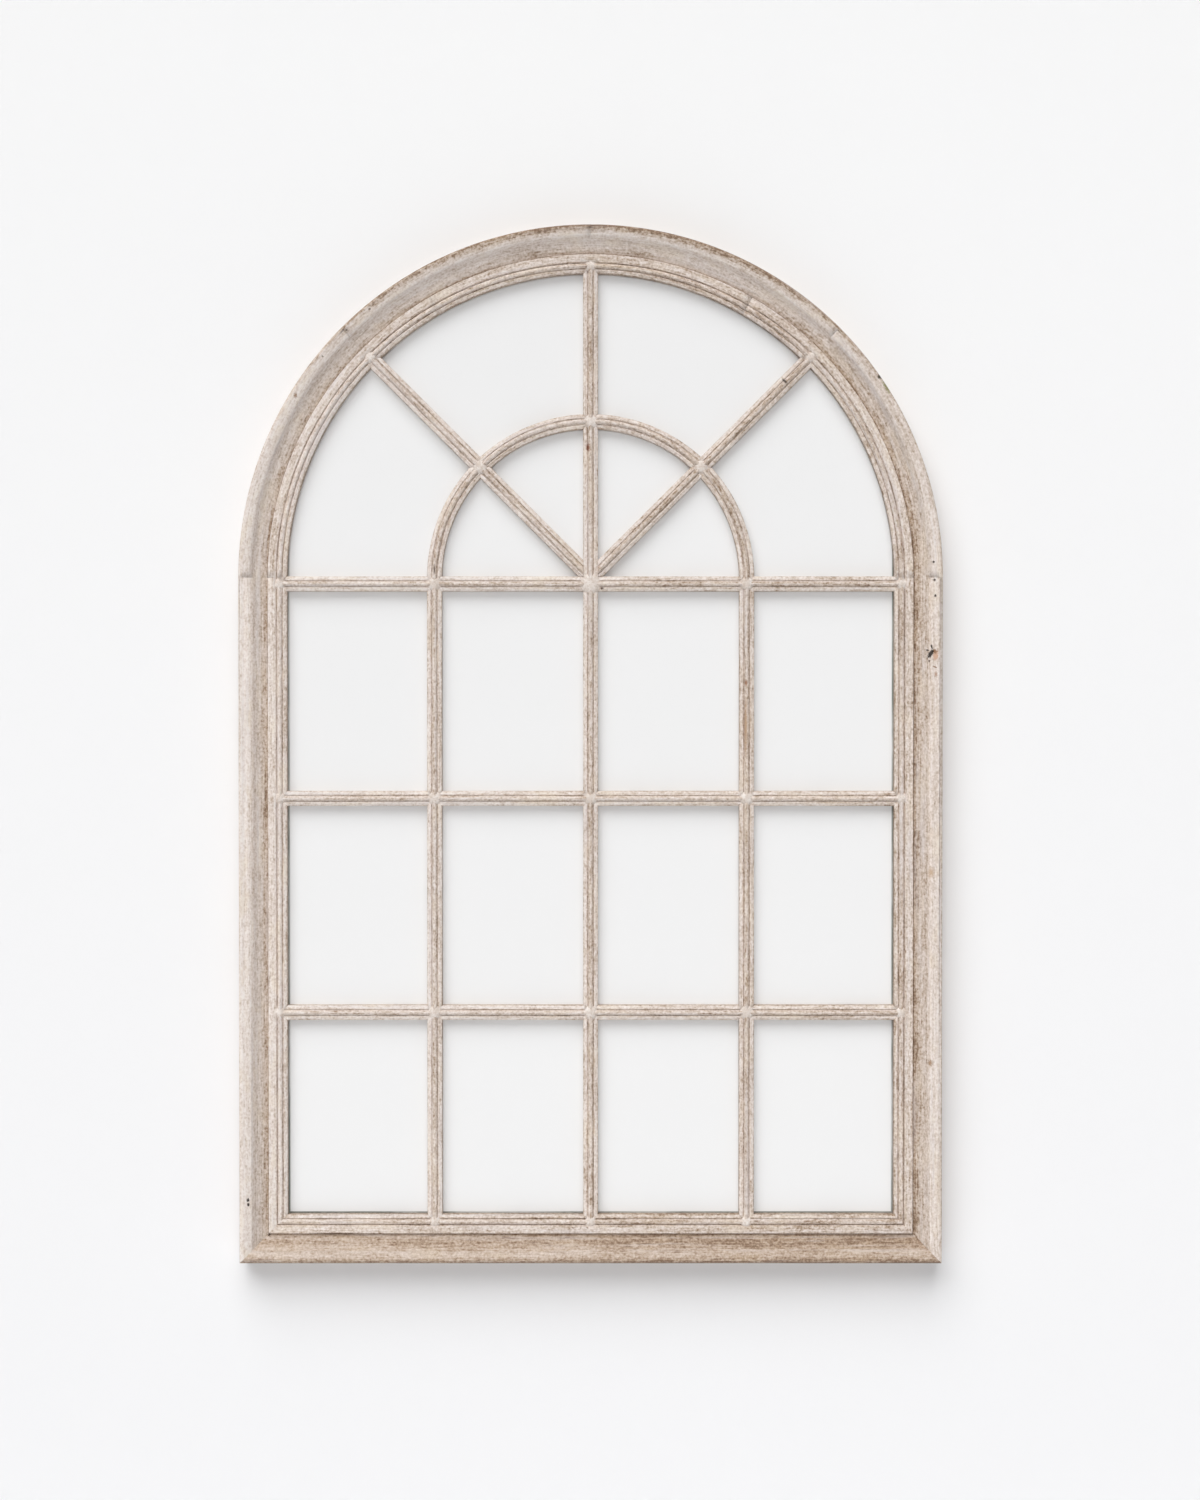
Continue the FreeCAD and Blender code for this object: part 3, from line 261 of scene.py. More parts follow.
deselectAll()
bpy.ops.mesh.primitive_plane_add(
    size=stageLook["size"],
    location=(0, wallPlane + wallGap, stageLook["wallMiddle"]),
    rotation=(math.radians(90), 0, 0),
)
wall = bpy.context.object
wall.name = "backWall"
wall.data.materials.append(wallPaint)
bpy.ops.mesh.primitive_plane_add(
    size=stageLook["size"],
    location=(0, wallPlane - stageLook["size"] / 2, stageLook["floorHeight"]),
)
ground = bpy.context.object
ground.name = "paleGround"
ground.data.materials.append(floorPaint)
print("stage done")


# limewashed wood: the wash is thick on the high lines, thin in the hollows, whose brown is partly painted
# shade, and worn off the outer edge

limewash = {
    "white": shade(240, 232, 226),
    "pinkWhite": shade(227, 215, 207),
    "taupe": shade(208, 193, 181),
    "tan": shade(180, 159, 140),
    "brown": shade(130, 106, 86),
    "cream": shade(240, 232, 214),
    "lilac": shade(206, 199, 199),
}

# how far the outer edge is worn, over how wide a band in m, and how much darker or paler whole parts are; the
# crown, bottom, sash and level parts' shares are painted shade and painted light
wearAndShade = {
    "stile": 0.08, "bottom": 0.30, "crown": 0.52, "band": 0.0040, "wideBand": 0.0135,
    "leftTone": 0.05, "rightTone": -0.09, "crownPaintedLightAndShade": -0.16, "sashCrownPaintedShade": -0.10,
    "bottomPaintedShade": -0.34, "sashFootPaintedShade": -0.12, "levelPaintedLight": 0.05,
}

# at: x and z; half: half width and half height, m; lean: clockwise, degrees; soft: 0 hard edge, 1 soft edge
marks = [
    {"at": (0.4404, 0.7794), "half": (0.0040, 0.0075), "colour": shade(208, 170, 146), "soft": 0.5},
    {"at": (0.4392, 0.7838), "half": (0.0036, 0.0034), "colour": shade(152, 114, 84), "soft": 0.6},
    {"at": (0.4345, 0.7812), "half": (0.0026, 0.0068), "lean": 26, "colour": shade(22, 16, 13), "soft": 0.25},
    {"at": (0.4356, 0.7893), "half": (0.0012, 0.0034), "lean": -16, "colour": shade(40, 30, 25), "soft": 0.4},
    {"at": (0.4306, 0.7855), "half": (0.0022, 0.0010), "lean": 20, "colour": shade(34, 26, 22), "soft": 0.4},
    {"at": (0.4327, 0.7717), "half": (0.0014, 0.0016), "colour": shade(92, 74, 62), "soft": 0.5},
    {"at": (0.4395, 0.7640), "half": (0.0040, 0.0011), "lean": 24, "colour": shade(152, 122, 102),
     "soft": 0.6},
    {"at": (0.4409, 0.7551), "half": (0.0022, 0.0042), "colour": shade(180, 146, 126), "soft": 0.8},
    {"at": (0.4388, 0.8751), "half": (0.0018, 0.0017), "colour": shade(52, 40, 32), "soft": 0.5},
    {"at": (0.4399, 0.8550), "half": (0.0016, 0.0021), "colour": shade(60, 46, 38), "soft": 0.5},
    {"at": (0.4358, 0.5011), "half": (0.0050, 0.0075), "colour": shade(193, 166, 140), "soft": 0.9},
    {"at": (0.4346, 0.2572), "half": (0.0034, 0.0050), "colour": shade(158, 128, 101), "soft": 0.8},
    {"at": (0.4378, 0.8981), "half": (0.0018, 0.0018), "colour": shade(52, 40, 32), "soft": 0.5},
    {"at": (0.3690, 1.1340), "half": (0.0036, 0.0034), "colour": shade(60, 54, 38), "soft": 0.4},
    {"at": (0.3770, 1.1210), "half": (0.0036, 0.0110), "lean": -30, "colour": shade(140, 136, 96),
     "soft": 0.7},
    {"at": (-0.4386, 0.0814), "half": (0.0016, 0.0026), "colour": shade(38, 28, 23), "soft": 0.3},
    {"at": (-0.4382, 0.0757), "half": (0.0014, 0.0024), "colour": shade(46, 34, 28), "soft": 0.3},
    {"at": (-0.3761, 1.1100), "half": (0.0030, 0.0040), "colour": shade(152, 122, 98), "soft": 0.8},
    {"at": (-0.3416, 1.1598), "half": (0.0014, 0.0014), "colour": shade(96, 76, 60), "soft": 0.6},
    {"at": (-0.3110, 1.1929), "half": (0.0014, 0.0014), "colour": shade(96, 76, 60), "soft": 0.6},
    {"at": (-0.2816, 1.2198), "half": (0.0018, 0.0012), "colour": shade(96, 76, 60), "soft": 0.6},
    {"at": (-0.4130, 0.0350), "half": (0.0022, 0.0030), "lean": 40, "colour": shade(66, 48, 36), "soft": 0.7},
    {"at": (-0.3260, 0.0372), "half": (0.0380, 0.0010), "colour": shade(104, 78, 58), "soft": 0.8},
    {"at": (0.2482, 1.1292), "half": (0.0046, 0.0018), "lean": 45, "colour": shade(58, 44, 36), "soft": 0.6},
    {"at": (-0.0033, 1.0450), "half": (0.0030, 0.0062), "colour": shade(140, 88, 64), "soft": 0.7},
    {"at": (-0.0033, 1.2734), "half": (0.0026, 0.0075), "colour": shade(120, 96, 78), "soft": 0.8},
    {"at": (0.1984, 0.6860), "half": (0.0028, 0.0500), "colour": shade(180, 150, 124), "soft": 0.9},
    {"at": (0.1990, 0.7440), "half": (0.0030, 0.0045), "colour": shade(150, 106, 78), "soft": 0.8},
    {"at": (0.0146, 0.8649), "half": (0.0022, 0.0018), "colour": shade(92, 70, 54), "soft": 0.5},
    {"at": (-0.1999, 0.8890), "half": (0.0014, 0.0070), "colour": shade(98, 80, 66), "soft": 0.7},
    {"at": (-0.0225, 0.0440), "half": (0.0022, 0.0010), "colour": shade(124, 94, 70), "soft": 0.7},
    {"at": (-0.0130, 0.0438), "half": (0.0012, 0.0010), "colour": shade(124, 94, 70), "soft": 0.7},
    {"at": (-0.0046, 0.0442), "half": (0.0018, 0.0010), "colour": shade(124, 94, 70), "soft": 0.7},
]

# height of the face above the back, in mm, to how thick the wash lies there, from brown at 0 to white at 1;
# the low values in the grooves and quirks are partly painted shade
washAndShadeByHeight = {
    "frame": [
        (10, 0.42), (22.8, 0.27), (24.4, 0.35), (26.4, 0.51), (31, 0.62), (36.5, 0.70), (39, 0.77),
        (40, 0.77),
    ],
    "sash": [
        (10, 0.36), (22.6, 0.35), (23.8, 0.35), (25.0, 0.69), (26.3, 0.59), (26.95, 0.67), (27.4, 0.59),
        (28, 0.65),
    ],
    "grille": [
        (10, 0.32), (22.6, 0.43), (23.8, 0.29), (24.6, 0.69), (25.7, 0.66), (26.3, 0.46), (27.2, 0.52),
        (28, 0.57),
    ],
}
highest = 40.0

# unevenness along the grain: how fine it is along, across and into the wood, and its share of the wash
grainNoise = {
    "lines": {"scale": (16, 520, 520), "share": 0.17},
    "streaks": {"scale": (5, 120, 120), "share": 0.10},
    "patches": {"scale": (22, 60, 60), "share": 0.14},
    "flecks": {"scale": (110, 420, 420), "share": 0.23},
}
mottleShare = 0.25
unevenness = {"frame": 1.0, "bottom": 0.65, "other": 1.15}

runs = {
    "left_stile": "leftSide", "right_stile": "rightSide", "bottom_rail": "level",
    "head_left_lower": "outerArch", "head_left_upper": "outerArch",
    "head_right_upper": "outerArch", "head_right_lower": "outerArch",
    "sash_left_stile": "leftSide", "sash_right_stile": "rightSide", "sash_bottom_rail": "level",
    "sash_head_left": "outerArch", "sash_head_crown": "outerArch", "sash_head_right": "outerArch",
    "left_upright_bar": "upright", "centre_upright_bar": "upright", "right_upright_bar": "upright",
    "springing_bar": "level", "middle_level_bar": "level", "lower_level_bar": "level",
    "left_inner_arch": "innerArch", "right_inner_arch": "innerArch",
    "left_radial_bar": "leftFan", "right_radial_bar": "rightFan",
}
families = {"frame_wood": "frame", "sash_wood": "sash", "grille_wood": "grille"}
grain = {"outerArch": 0.43, "innerArch": 0.2}  # radius at which a curved piece's length is measured


# coordinates along the grain, across it and into the wood, and how high on the arch a place is
def grainPlace(wiring, run, seed):
    where = wiring.add("TexCoord").outputs["Object"]
    if run in ("leftFan", "rightFan"):
        lean = math.radians(45 if run == "leftFan" else -45)
        where = wiring.add("Mapping", {"Vector": where, "Rotation": (0, lean, 0)}).outputs[0]
    parts = wiring.add("SeparateXYZ", {0: where}).outputs
    aloft = None
    if run == "level":
        along, across = parts["X"], parts["Z"]
    elif run in grain:
        up = wiring.math("SUBTRACT", parts["Z"], archCentre)
        squares = [wiring.math("MULTIPLY", way, way) for way in (up, parts["X"])]
        across = wiring.math("SQRT", wiring.math("ADD", *squares))
        along = wiring.math("MULTIPLY", wiring.math("ARCTAN2", up, parts["X"]), grain[run])
        aloft = wiring.math("DIVIDE", up, across)
    elif run == "rightSide":  # runs on from the head's pattern
        along, across = wiring.math("SUBTRACT", parts["Z"], archCentre), parts["X"]
    elif run == "leftSide":
        along = wiring.math("SUBTRACT", archCentre + math.pi * grain["outerArch"], parts["Z"])
        across = wiring.math("ABSOLUTE", parts["X"])
    else:
        along, across = parts["Z"], parts["X"]
    spread = wiring.add("CombineXYZ", {"X": along, "Y": across, "Z": parts["Y"]}).outputs[0]
    away = (1.3 + seed * 1.37, 1.713, 0.937)  # keeps the noise clear of its own zero lines
    return wiring.add("VectorMath", {0: spread, 1: away}, operation="ADD").outputs[0], across, aloft


# a mark's strength: 1 in its middle, ragged at its edge
def markReach(wiring, place, ragged, mark):
    x, z = mark["at"]
    offset = wiring.add("VectorMath", {0: place, 1: (x, 0, z)}, operation="SUBTRACT").outputs[0]
    if "lean" in mark:
        offset = wiring.add(
            "VectorRotate", {"Vector": offset, "Axis": (0, 1, 0), "Angle": math.radians(-mark["lean"])}
        ).outputs[0]
    width, tall = mark["half"]
    offset = wiring.add(
        "VectorMath", {0: offset, 1: (1 / width, 0, 1 / tall)}, operation="MULTIPLY"
    ).outputs[0]
    reach = wiring.add("VectorMath", {0: offset}, operation="LENGTH").outputs["Value"]
    reach = wiring.math("ADD", reach, ragged)
    return wiring.span(reach, 1.0 - mark["soft"], 1.15, 0.94, 0)


def limedWood(nodeName, run, family, seed):
    wiring = Wiring(nodeName + "Limewash")
    grainSpot, across, aloft = grainPlace(wiring, run, seed)
    place = wiring.add("TexCoord").outputs["Object"]
    parts = wiring.add("SeparateXYZ", {0: place}).outputs
    aside = wiring.add("VectorMath", {0: place, 1: (2.131, 0.937, 1.713)}, operation="ADD").outputs[0]
    spread = {}
    for name, noise in grainNoise.items():
        stretched = wiring.add("Mapping", {"Vector": grainSpot, "Scale": noise["scale"]}).outputs[0]
        spread[name] = wiring.noise(stretched, 1.0, detail=4, roughness=0.6, distortion=0.3)
    mottle = wiring.noise(aside, 330, detail=3, roughness=0.6)
    crumbs = wiring.noise(aside, 900, detail=2, roughness=0.6)
    ragged = wiring.span(wiring.noise(aside, 700, detail=2), 0.3, 0.7, -0.34, 0.34, smooth=False)

    # how thick the wash lies, by how far forward the face stands, with painted shade in the grooves and
    # quirks
    height = wiring.math("MULTIPLY_ADD", parts["Y"], -1000.0 / highest, backPlane * 1000 / highest)
    stops = [(tall / highest, (thick, thick, thick, 1)) for tall, thick in washAndShadeByHeight[family]]
    washAndShade = wiring.add("SeparateColor", {0: wiring.ramp(height, stops)}).outputs[0]
    front = wiring.span(parts["Y"], 0.002, 0.007, 1, 0)  # marks and wear stay off the back
    if family == "frame":
        rough = unevenness["bottom" if run == "level" else "frame"]
    else:
        rough = unevenness["other"]
    for name, noise in grainNoise.items():
        share = noise["share"] * rough
        washAndShade = wiring.math("ADD", washAndShade, wiring.span(spread[name], 0.3, 0.7, -share, share, False))
    share = mottleShare * rough
    washAndShade = wiring.math("ADD", washAndShade, wiring.span(mottle, 0.3, 0.7, -share, share, False))
    leftToRight = wiring.span(parts["X"], -halfWidth, halfWidth, wearAndShade["leftTone"], wearAndShade["rightTone"])
    washAndShade = wiring.math("ADD", washAndShade, leftToRight)

    # the outer edge is worn to brown, most on the crown and the bottom rail; painted shade also darkens the
    # bottom rail and the crown's rim, and painted light makes the crown's hollow paler
    if family == "frame":
        if run == "level":
            edgeWay, amount, band = across, wearAndShade["bottom"], wearAndShade["wideBand"]
            # painted shade: the bottom rail darker, most towards its outer edge
            tone = wiring.span(across, 0.022, 0.036, wearAndShade["bottomPaintedShade"], wearAndShade["bottomPaintedShade"] / 4)
        elif aloft:
            edgeWay = wiring.math("SUBTRACT", halfWidth, across)
            amount = wiring.span(aloft, 0.25, 0.95, wearAndShade["stile"], wearAndShade["crown"])
            band = wiring.span(aloft, 0.25, 0.95, wearAndShade["band"], wearAndShade["wideBand"])
            # painted shade on the crown's rim and painted light in its hollow, which faces down
            tone = wiring.math("MULTIPLY", wiring.span(aloft, 0.45, 0.98, 0, wearAndShade["crownPaintedLightAndShade"]),
                               wiring.span(edgeWay, 0.006, 0.017, 1, -0.9))
        else:
            edgeWay = wiring.math("SUBTRACT", halfWidth, across)
            amount, tone, band = wearAndShade["stile"], 0.0, wearAndShade["band"]
        raggedEdge = wiring.math("MULTIPLY_ADD", mottle, 0.004, edgeWay)
        nearEdge = wiring.span(raggedEdge, 0.002, wiring.math("ADD", band, 0.002), 1, 0)
        ruin = wiring.math("MULTIPLY", amount, wiring.span(spread["streaks"], 0.3, 0.6, 0.6, 1.2))
        ruin = wiring.math("MULTIPLY", nearEdge, ruin)
        washAndShade = wiring.math("SUBTRACT", washAndShade, wiring.math("MULTIPLY", ruin, front))
        washAndShade = wiring.math("ADD", washAndShade, wiring.math("MULTIPLY", tone, front))
    # painted light: the level bars paler
    elif family == "grille" and run == "level":
        washAndShade = wiring.math("ADD", washAndShade, wearAndShade["levelPaintedLight"])
    # painted shade: the sash's bottom rail darker
    elif nodeName == "sash_bottom_rail":
        washAndShade = wiring.math("ADD", washAndShade, wearAndShade["sashFootPaintedShade"])
    # painted shade: the sash's head darker towards the crown
    elif run == "outerArch":
        washAndShade = wiring.math("ADD", washAndShade, wiring.span(aloft, 0.5, 0.98, 0, wearAndShade["sashCrownPaintedShade"]))

    colour = wiring.ramp(washAndShade, [(0.0, limewash["brown"]), (0.22, limewash["tan"]), (0.46, limewash["taupe"]),
                                (0.72, limewash["pinkWhite"]), (1.0, limewash["white"])])
    tint = wiring.span(spread["patches"], 0.48, 0.66, 0, 0.42)
    colour = wiring.mix(tint, colour, limewash["cream"], blend="MULTIPLY")
    tint = wiring.span(spread["streaks"], 0.52, 0.68, 0, 0.30)
    colour = wiring.mix(tint, colour, limewash["lilac"])
    scars = wiring.span(spread["flecks"], 0.66, 0.76, 0, 0.60)
    scars = wiring.math("MULTIPLY", scars, wiring.span(spread["patches"], 0.40, 0.60, 0.25, 1))
    colour = wiring.mix(scars, colour, limewash["brown"])
    dent = wiring.math("MULTIPLY", scars, -0.8)

    low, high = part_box(nodeName)
    for mark in marks:
        x, z = mark["at"]
        width, tall = mark["half"]
        if low[0] - width < x < high[0] + width and low[2] - tall < z < high[2] + tall:
            strength = wiring.math("MULTIPLY", markReach(wiring, place, ragged, mark), front)
            colour = wiring.mix(strength, colour, mark["colour"])
            dent = wiring.math("MULTIPLY_ADD", strength, -1.6 if mark["soft"] < 0.55 else -0.3, dent)

    relief = wiring.math("MULTIPLY_ADD", spread["lines"], 0.7, dent)
    relief = wiring.math("MULTIPLY_ADD", mottle, 0.9, relief)
    relief = wiring.math("MULTIPLY_ADD", spread["flecks"], 0.6, relief)
    relief = wiring.math("MULTIPLY_ADD", crumbs, 0.25, relief)
    return wiring.finish(colour, wiring.span(washAndShade, 0.0, 1.0, 0.70, 0.90), relief, bump=(0.6, 0.0006))


# where bars cross, and where they meet the sash: x, z and the reach of the limewash that fills the corner
fills = {
    "height": 0.0250, "rise": 0.0036, "crossing": 0.0094, "hub": 0.0138, "junction": 0.0078,
    "ruffle": 0.0007, "depth": 0.0024,
}
barLines = {"upright": (-0.2, 0.0, 0.2), "level": (0.8705, 0.5955, 0.3205)}
innerRadius, lipRadius, lipFoot = 0.2, 0.389, 0.061
beadLine = 0.0095  # the sash's bead, outside its lip
headBead = lipRadius + beadLine
diagonal = math.sqrt(0.5)
fan = ((0, 1), (-diagonal, diagonal), (diagonal, diagonal))

spots = [(x, z, fills["hub"] if x == 0 and z == barLines["level"][0] else fills["crossing"])
         for x in barLines["upright"] for z in barLines["level"]]
spots += [(innerRadius * right, archCentre + innerRadius * up, fills["crossing"]) for right, up in fan]
spots += [(side * headBead, z, fills["junction"]) for side in (-1, 1) for z in barLines["level"]]
spots += [(x, lipFoot - beadLine, fills["junction"]) for x in barLines["upright"]]
spots += [(headBead * right, archCentre + headBead * up, fills["junction"]) for right, up in fan]


# widths in m: a moulding's lines are rounded most, real corners least, and joints in the head not at all
easing = {"frame": 0.0018, "sash": 0.0011, "grille": 0.0011, "corner": 0.0007, "mitre": 0.0003, "steps": 3,
          "clear": 0.011}
frontHeight = 0.012  # edges nearer the back than this stay sharp


def grainWay(run, spot):
    if run == "level":
        return Vector((1, 0, 0))
    if run in ("leftFan", "rightFan"):
        return Vector((-1 if run == "leftFan" else 1, 0, 1)).normalized()
    if run in grain:
        return Vector((spot.z - archCentre, 0, -spot.x)).normalized()
    return Vector((0, 0, 1))


# whether an edge passes a crossing, where the mitres stay sharp
def nearJunction(start, end):
    flatStart, flatEnd = Vector((start.x, start.z)), Vector((end.x, end.z))
    run = flatEnd - flatStart
    for x, z, _ in spots:
        offset = Vector((x, z)) - flatStart
        share = min(1.0, max(0.0, offset.dot(run) / run.length_squared)) if run.length_squared else 0.0
        if (offset - run * share).length < easing["clear"] * 0.98:
            return True
    return False


# how wide an edge is eased, in m
def easingWidth(mesh, edge, sides, run, family):
    if len(sides) != 2:
        return 0.0
    first, second = (mesh.polygons[index] for index in sides)
    turn = first.normal.angle(second.normal, 0.0)
    start, end = (mesh.vertices[index].co for index in edge.vertices)
    middle = (start + end) / 2
    if turn < math.radians(7) or backPlane - middle.y < frontHeight:
        return 0.0
    if (second.center - first.center).dot(first.normal) > 0:
        return 0.0  # an inner corner
    way = grainWay(run, middle)
    if nearJunction(start, end):
        return 0.0
    if abs((end - start).normalized().dot(way)) < 0.9:
        endOn = max(abs(first.normal.dot(way)), abs(second.normal.dot(way)))
        return easing["mitre"] if 0.5 < endOn < 0.9 else 0.0
    return easing[family] if turn < math.radians(60) else easing["corner"]


# a copy of a CAD node, its triangles merged, ready for its edges to be rounded as the cutter and sanding
# leave them
def eased(nodeName, pieceName, way=None):
    source = nodes[nodeName]
    piece = source.copy()
    piece.data = source.data.copy()
    piece.name = pieceName
    piece.parent = None
    for key in list(piece.keys()):
        del piece[key]
    bpy.context.scene.collection.objects.link(piece)
    makeActive(piece)
    bpy.ops.object.mode_set(mode="EDIT")
    bpy.ops.mesh.select_all(action="SELECT")
    bpy.ops.mesh.remove_doubles(threshold=0.000004)
    bpy.ops.mesh.normals_make_consistent(inside=False)
    if way is None:
        bpy.ops.mesh.tris_convert_to_quads(face_threshold=math.radians(30), shape_threshold=math.radians(60))
    else:
        bpy.ops.mesh.dissolve_limited(angle_limit=math.radians(0.8))
        low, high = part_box(nodeName)
        for x, z, _ in spots:  # cut across on each side of a crossing, so that the rounding can stop there
            if low[0] - 0.01 < x < high[0] + 0.01 and low[2] - 0.01 < z < high[2] + 0.01:
                for step in (-easing["clear"], easing["clear"]):
                    spot = Vector((x, 0, z)) + way * step
                    bpy.ops.mesh.select_all(action="SELECT")
                    bpy.ops.mesh.bisect(plane_co=spot, plane_no=way)
    bpy.ops.object.mode_set(mode="OBJECT")
    piece.data.materials.clear()
    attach(piece, bodyOf[nodeName])
    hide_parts(nodeName)
    return piece


def roundEdges(piece, widths, steps):
    widest = max(widths)
    if widest > 0:
        weights = piece.data.attributes.new("bevel_weight_edge", "FLOAT", "EDGE")
        for index, width in enumerate(widths):
            weights.data[index].value = width / widest
        bevel = piece.modifiers.new("easedEdges", "BEVEL")
        bevel.width = widest
        bevel.segments = steps
        bevel.limit_method = "WEIGHT"
        bevel.use_clamp_overlap = False
        makeActive(piece)
        bpy.ops.object.modifier_apply(modifier=bevel.name)
    makeActive(piece)
    bpy.ops.object.shade_smooth_by_angle(angle=math.radians(42))


# the two faces on each side of every edge
def facesByEdge(mesh):
    beside = {}
    for face in mesh.polygons:
        for key in face.edge_keys:
            beside.setdefault(key, []).append(face.index)
    return [beside.get(tuple(sorted(edge.vertices)), []) for edge in mesh.edges]


for number, (nodeName, run) in enumerate(runs.items()):
    family = families[slotOf[nodeName]]
    wood = eased(nodeName, nodeName + "_wood", None if run in grain else grainWay(run, Vector()))
    sides = facesByEdge(wood.data)
    roundEdges(
        wood,
        [easingWidth(wood.data, edge, sides[edge.index], run, family) for edge in wood.data.edges],
        easing["steps"],
    )
    seed = 3 if run in ("outerArch", "leftSide", "rightSide") else number  # one pattern over these joints
    wood.data.materials.append(limedWood(nodeName, run, family, seed))
print("wood done:", len(runs), "pieces")


# limewash that has filled the grooves where bars cross and where they meet the sash

# one low mound: a disc that is inset three times and raised towards its middle, then ruffled
def washMound(number, x, z, reach):
    deselectAll()
    bpy.ops.mesh.primitive_circle_add(
        vertices=24, radius=reach, fill_type="NGON",
        location=(x, backPlane - fills["height"], z), rotation=(math.radians(90), 0, 0),
    )
    mound = bpy.context.object
    mound.name = f"washMound{number}"
    bpy.ops.object.transform_apply(location=True, rotation=True, scale=True)
    bpy.ops.object.mode_set(mode="EDIT")
    bpy.ops.mesh.select_all(action="SELECT")
    bpy.ops.mesh.extrude_region_move(TRANSFORM_OT_translate={"value": (0, fills["depth"], 0)})
    bpy.ops.mesh.select_all(action="DESELECT")
    bpy.ops.object.mode_set(mode="OBJECT")
    front = min(mound.data.polygons, key=lambda face: face.center.y + (0 if len(face.vertices) > 4 else 1))
    front.select = True
    bpy.ops.object.mode_set(mode="EDIT")
    for share, rise in ((0.25, 0.45), (0.30, 0.35), (0.35, 0.20)):
        bpy.ops.mesh.inset(thickness=reach * share * 0.8)
        bpy.ops.transform.translate(value=(0, -fills["rise"] * rise, 0))
    bpy.ops.mesh.select_all(action="SELECT")
    bpy.ops.transform.vertex_random(offset=fills["ruffle"], seed=number)
    bpy.ops.mesh.normals_make_consistent(inside=False)
    bpy.ops.object.mode_set(mode="OBJECT")
    finer = mound.modifiers.new("finer", "SUBSURF")
    finer.levels = finer.render_levels = 1
    bpy.ops.object.modifier_apply(modifier=finer.name)
    return mound


mounds = [washMound(number, *spot) for number, spot in enumerate(spots)]
makeActive(mounds[0])
for mound in mounds:
    mound.select_set(True)
bpy.ops.object.join()
washFills = bpy.context.object
washFills.name = "limewash_fills"
bpy.ops.object.transform_apply(location=True, rotation=True, scale=True)
bpy.ops.object.shade_smooth_by_angle(angle=math.radians(60))
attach(washFills, bodyOf["springing_bar"])

wiring = Wiring("thickLimewash")
place = wiring.add("TexCoord").outputs["Object"]
lumps = wiring.noise(place, 420, detail=4, roughness=0.65)
clouds = wiring.noise(place, 120, detail=3)
colour = wiring.mix(wiring.span(clouds, 0.35, 0.65, 0.3, 0.9), limewash["taupe"], limewash["white"])
colour = wiring.mix(wiring.span(lumps, 0.34, 0.58, 0.45, 0), colour, limewash["tan"])
washFills.data.materials.append(wiring.finish(colour, 0.88, lumps, bump=(0.6, 0.0006)))
print("limewash fills done:", len(spots))


# mirror: silvered glass, mostly matt and near-white, a painted reflection of the pale room that also takes
# the lamps' shadows, with a faint bloom and flecks of dust, and a painted dark line beside the sash that
# stands in for the sash's inner side mirrored in the glass

mirrorLook = {
    "silverAndPaintedRoom": shade(241, 241, 241), "bloomAndPaintedRoom": shade(237, 237, 238), "dust": shade(205, 205, 206),
    "edge": shade(112, 120, 112), "edgeSide": 0.3866, "edgeFoot": 0.0632, "edgeWidth": 0.0008,
    "shine": (0.12, 0.96),
}

wiring = Wiring("silveredMirror")
place = wiring.add("TexCoord").outputs["Object"]
parts = wiring.add("SeparateXYZ", {0: place}).outputs
haze = wiring.noise(place, 7.0, detail=5, roughness=0.6)
dust = wiring.noise(place, 420, detail=2)
# painted reflection: the near-white colour stands in for the pale room seen in the mirror
colour = wiring.mix(wiring.span(haze, 0.3, 0.7, 0, 0.14), mirrorLook["silverAndPaintedRoom"], mirrorLook["bloomAndPaintedRoom"])
colour = wiring.mix(wiring.span(dust, 0.74, 0.80, 0, 0.20), colour, mirrorLook["dust"])
sideEdge, footEdge, edgeWidth = (mirrorLook[part] for part in ("edgeSide", "edgeFoot", "edgeWidth"))
# painted reflection: a dark greenish line along the pane's sides and foot, where the sash's inner side would
# be mirrored
mirroredSideLine = wiring.span(wiring.math("ABSOLUTE", parts["X"]), sideEdge, sideEdge + edgeWidth)
mirroredFootLine = wiring.span(parts["Z"], footEdge - edgeWidth, footEdge, 1, 0)
mirroredSashLine = wiring.math("MAXIMUM", mirroredSideLine, mirroredFootLine)
mirroredSashLine = wiring.math("MULTIPLY", mirroredSashLine, wiring.span(haze, 0.35, 0.6, 0.35, 0.85))
colour = wiring.mix(mirroredSashLine, colour, mirrorLook["edge"])
facing = wiring.add("LayerWeight", {"Blend": 0.5}).outputs["Facing"]
shine = wiring.span(facing, 0.08, 0.55, *mirrorLook["shine"])
mirrorMaterial = wiring.finish(colour, wiring.span(haze, 0.3, 0.7, 0.03, 0.08), Metallic=0.5)
skin = next(node for node in wiring.tree.nodes if node.type == "BSDF_PRINCIPLED")
wiring.tree.links.new(shine, skin.inputs["Metallic"])


# gives a CAD node a material in place of its plain one
def coat(nodeName, material):
    mesh = nodes[nodeName].data
    mesh.materials.clear()
    mesh.materials.append(material)


coat("mirror_glass", mirrorMaterial)

# backing board: brown hardboard with its woven back

boardLook = {"light": shade(184, 150, 117), "dark": shade(140, 109, 81), "weave": 4200.0}

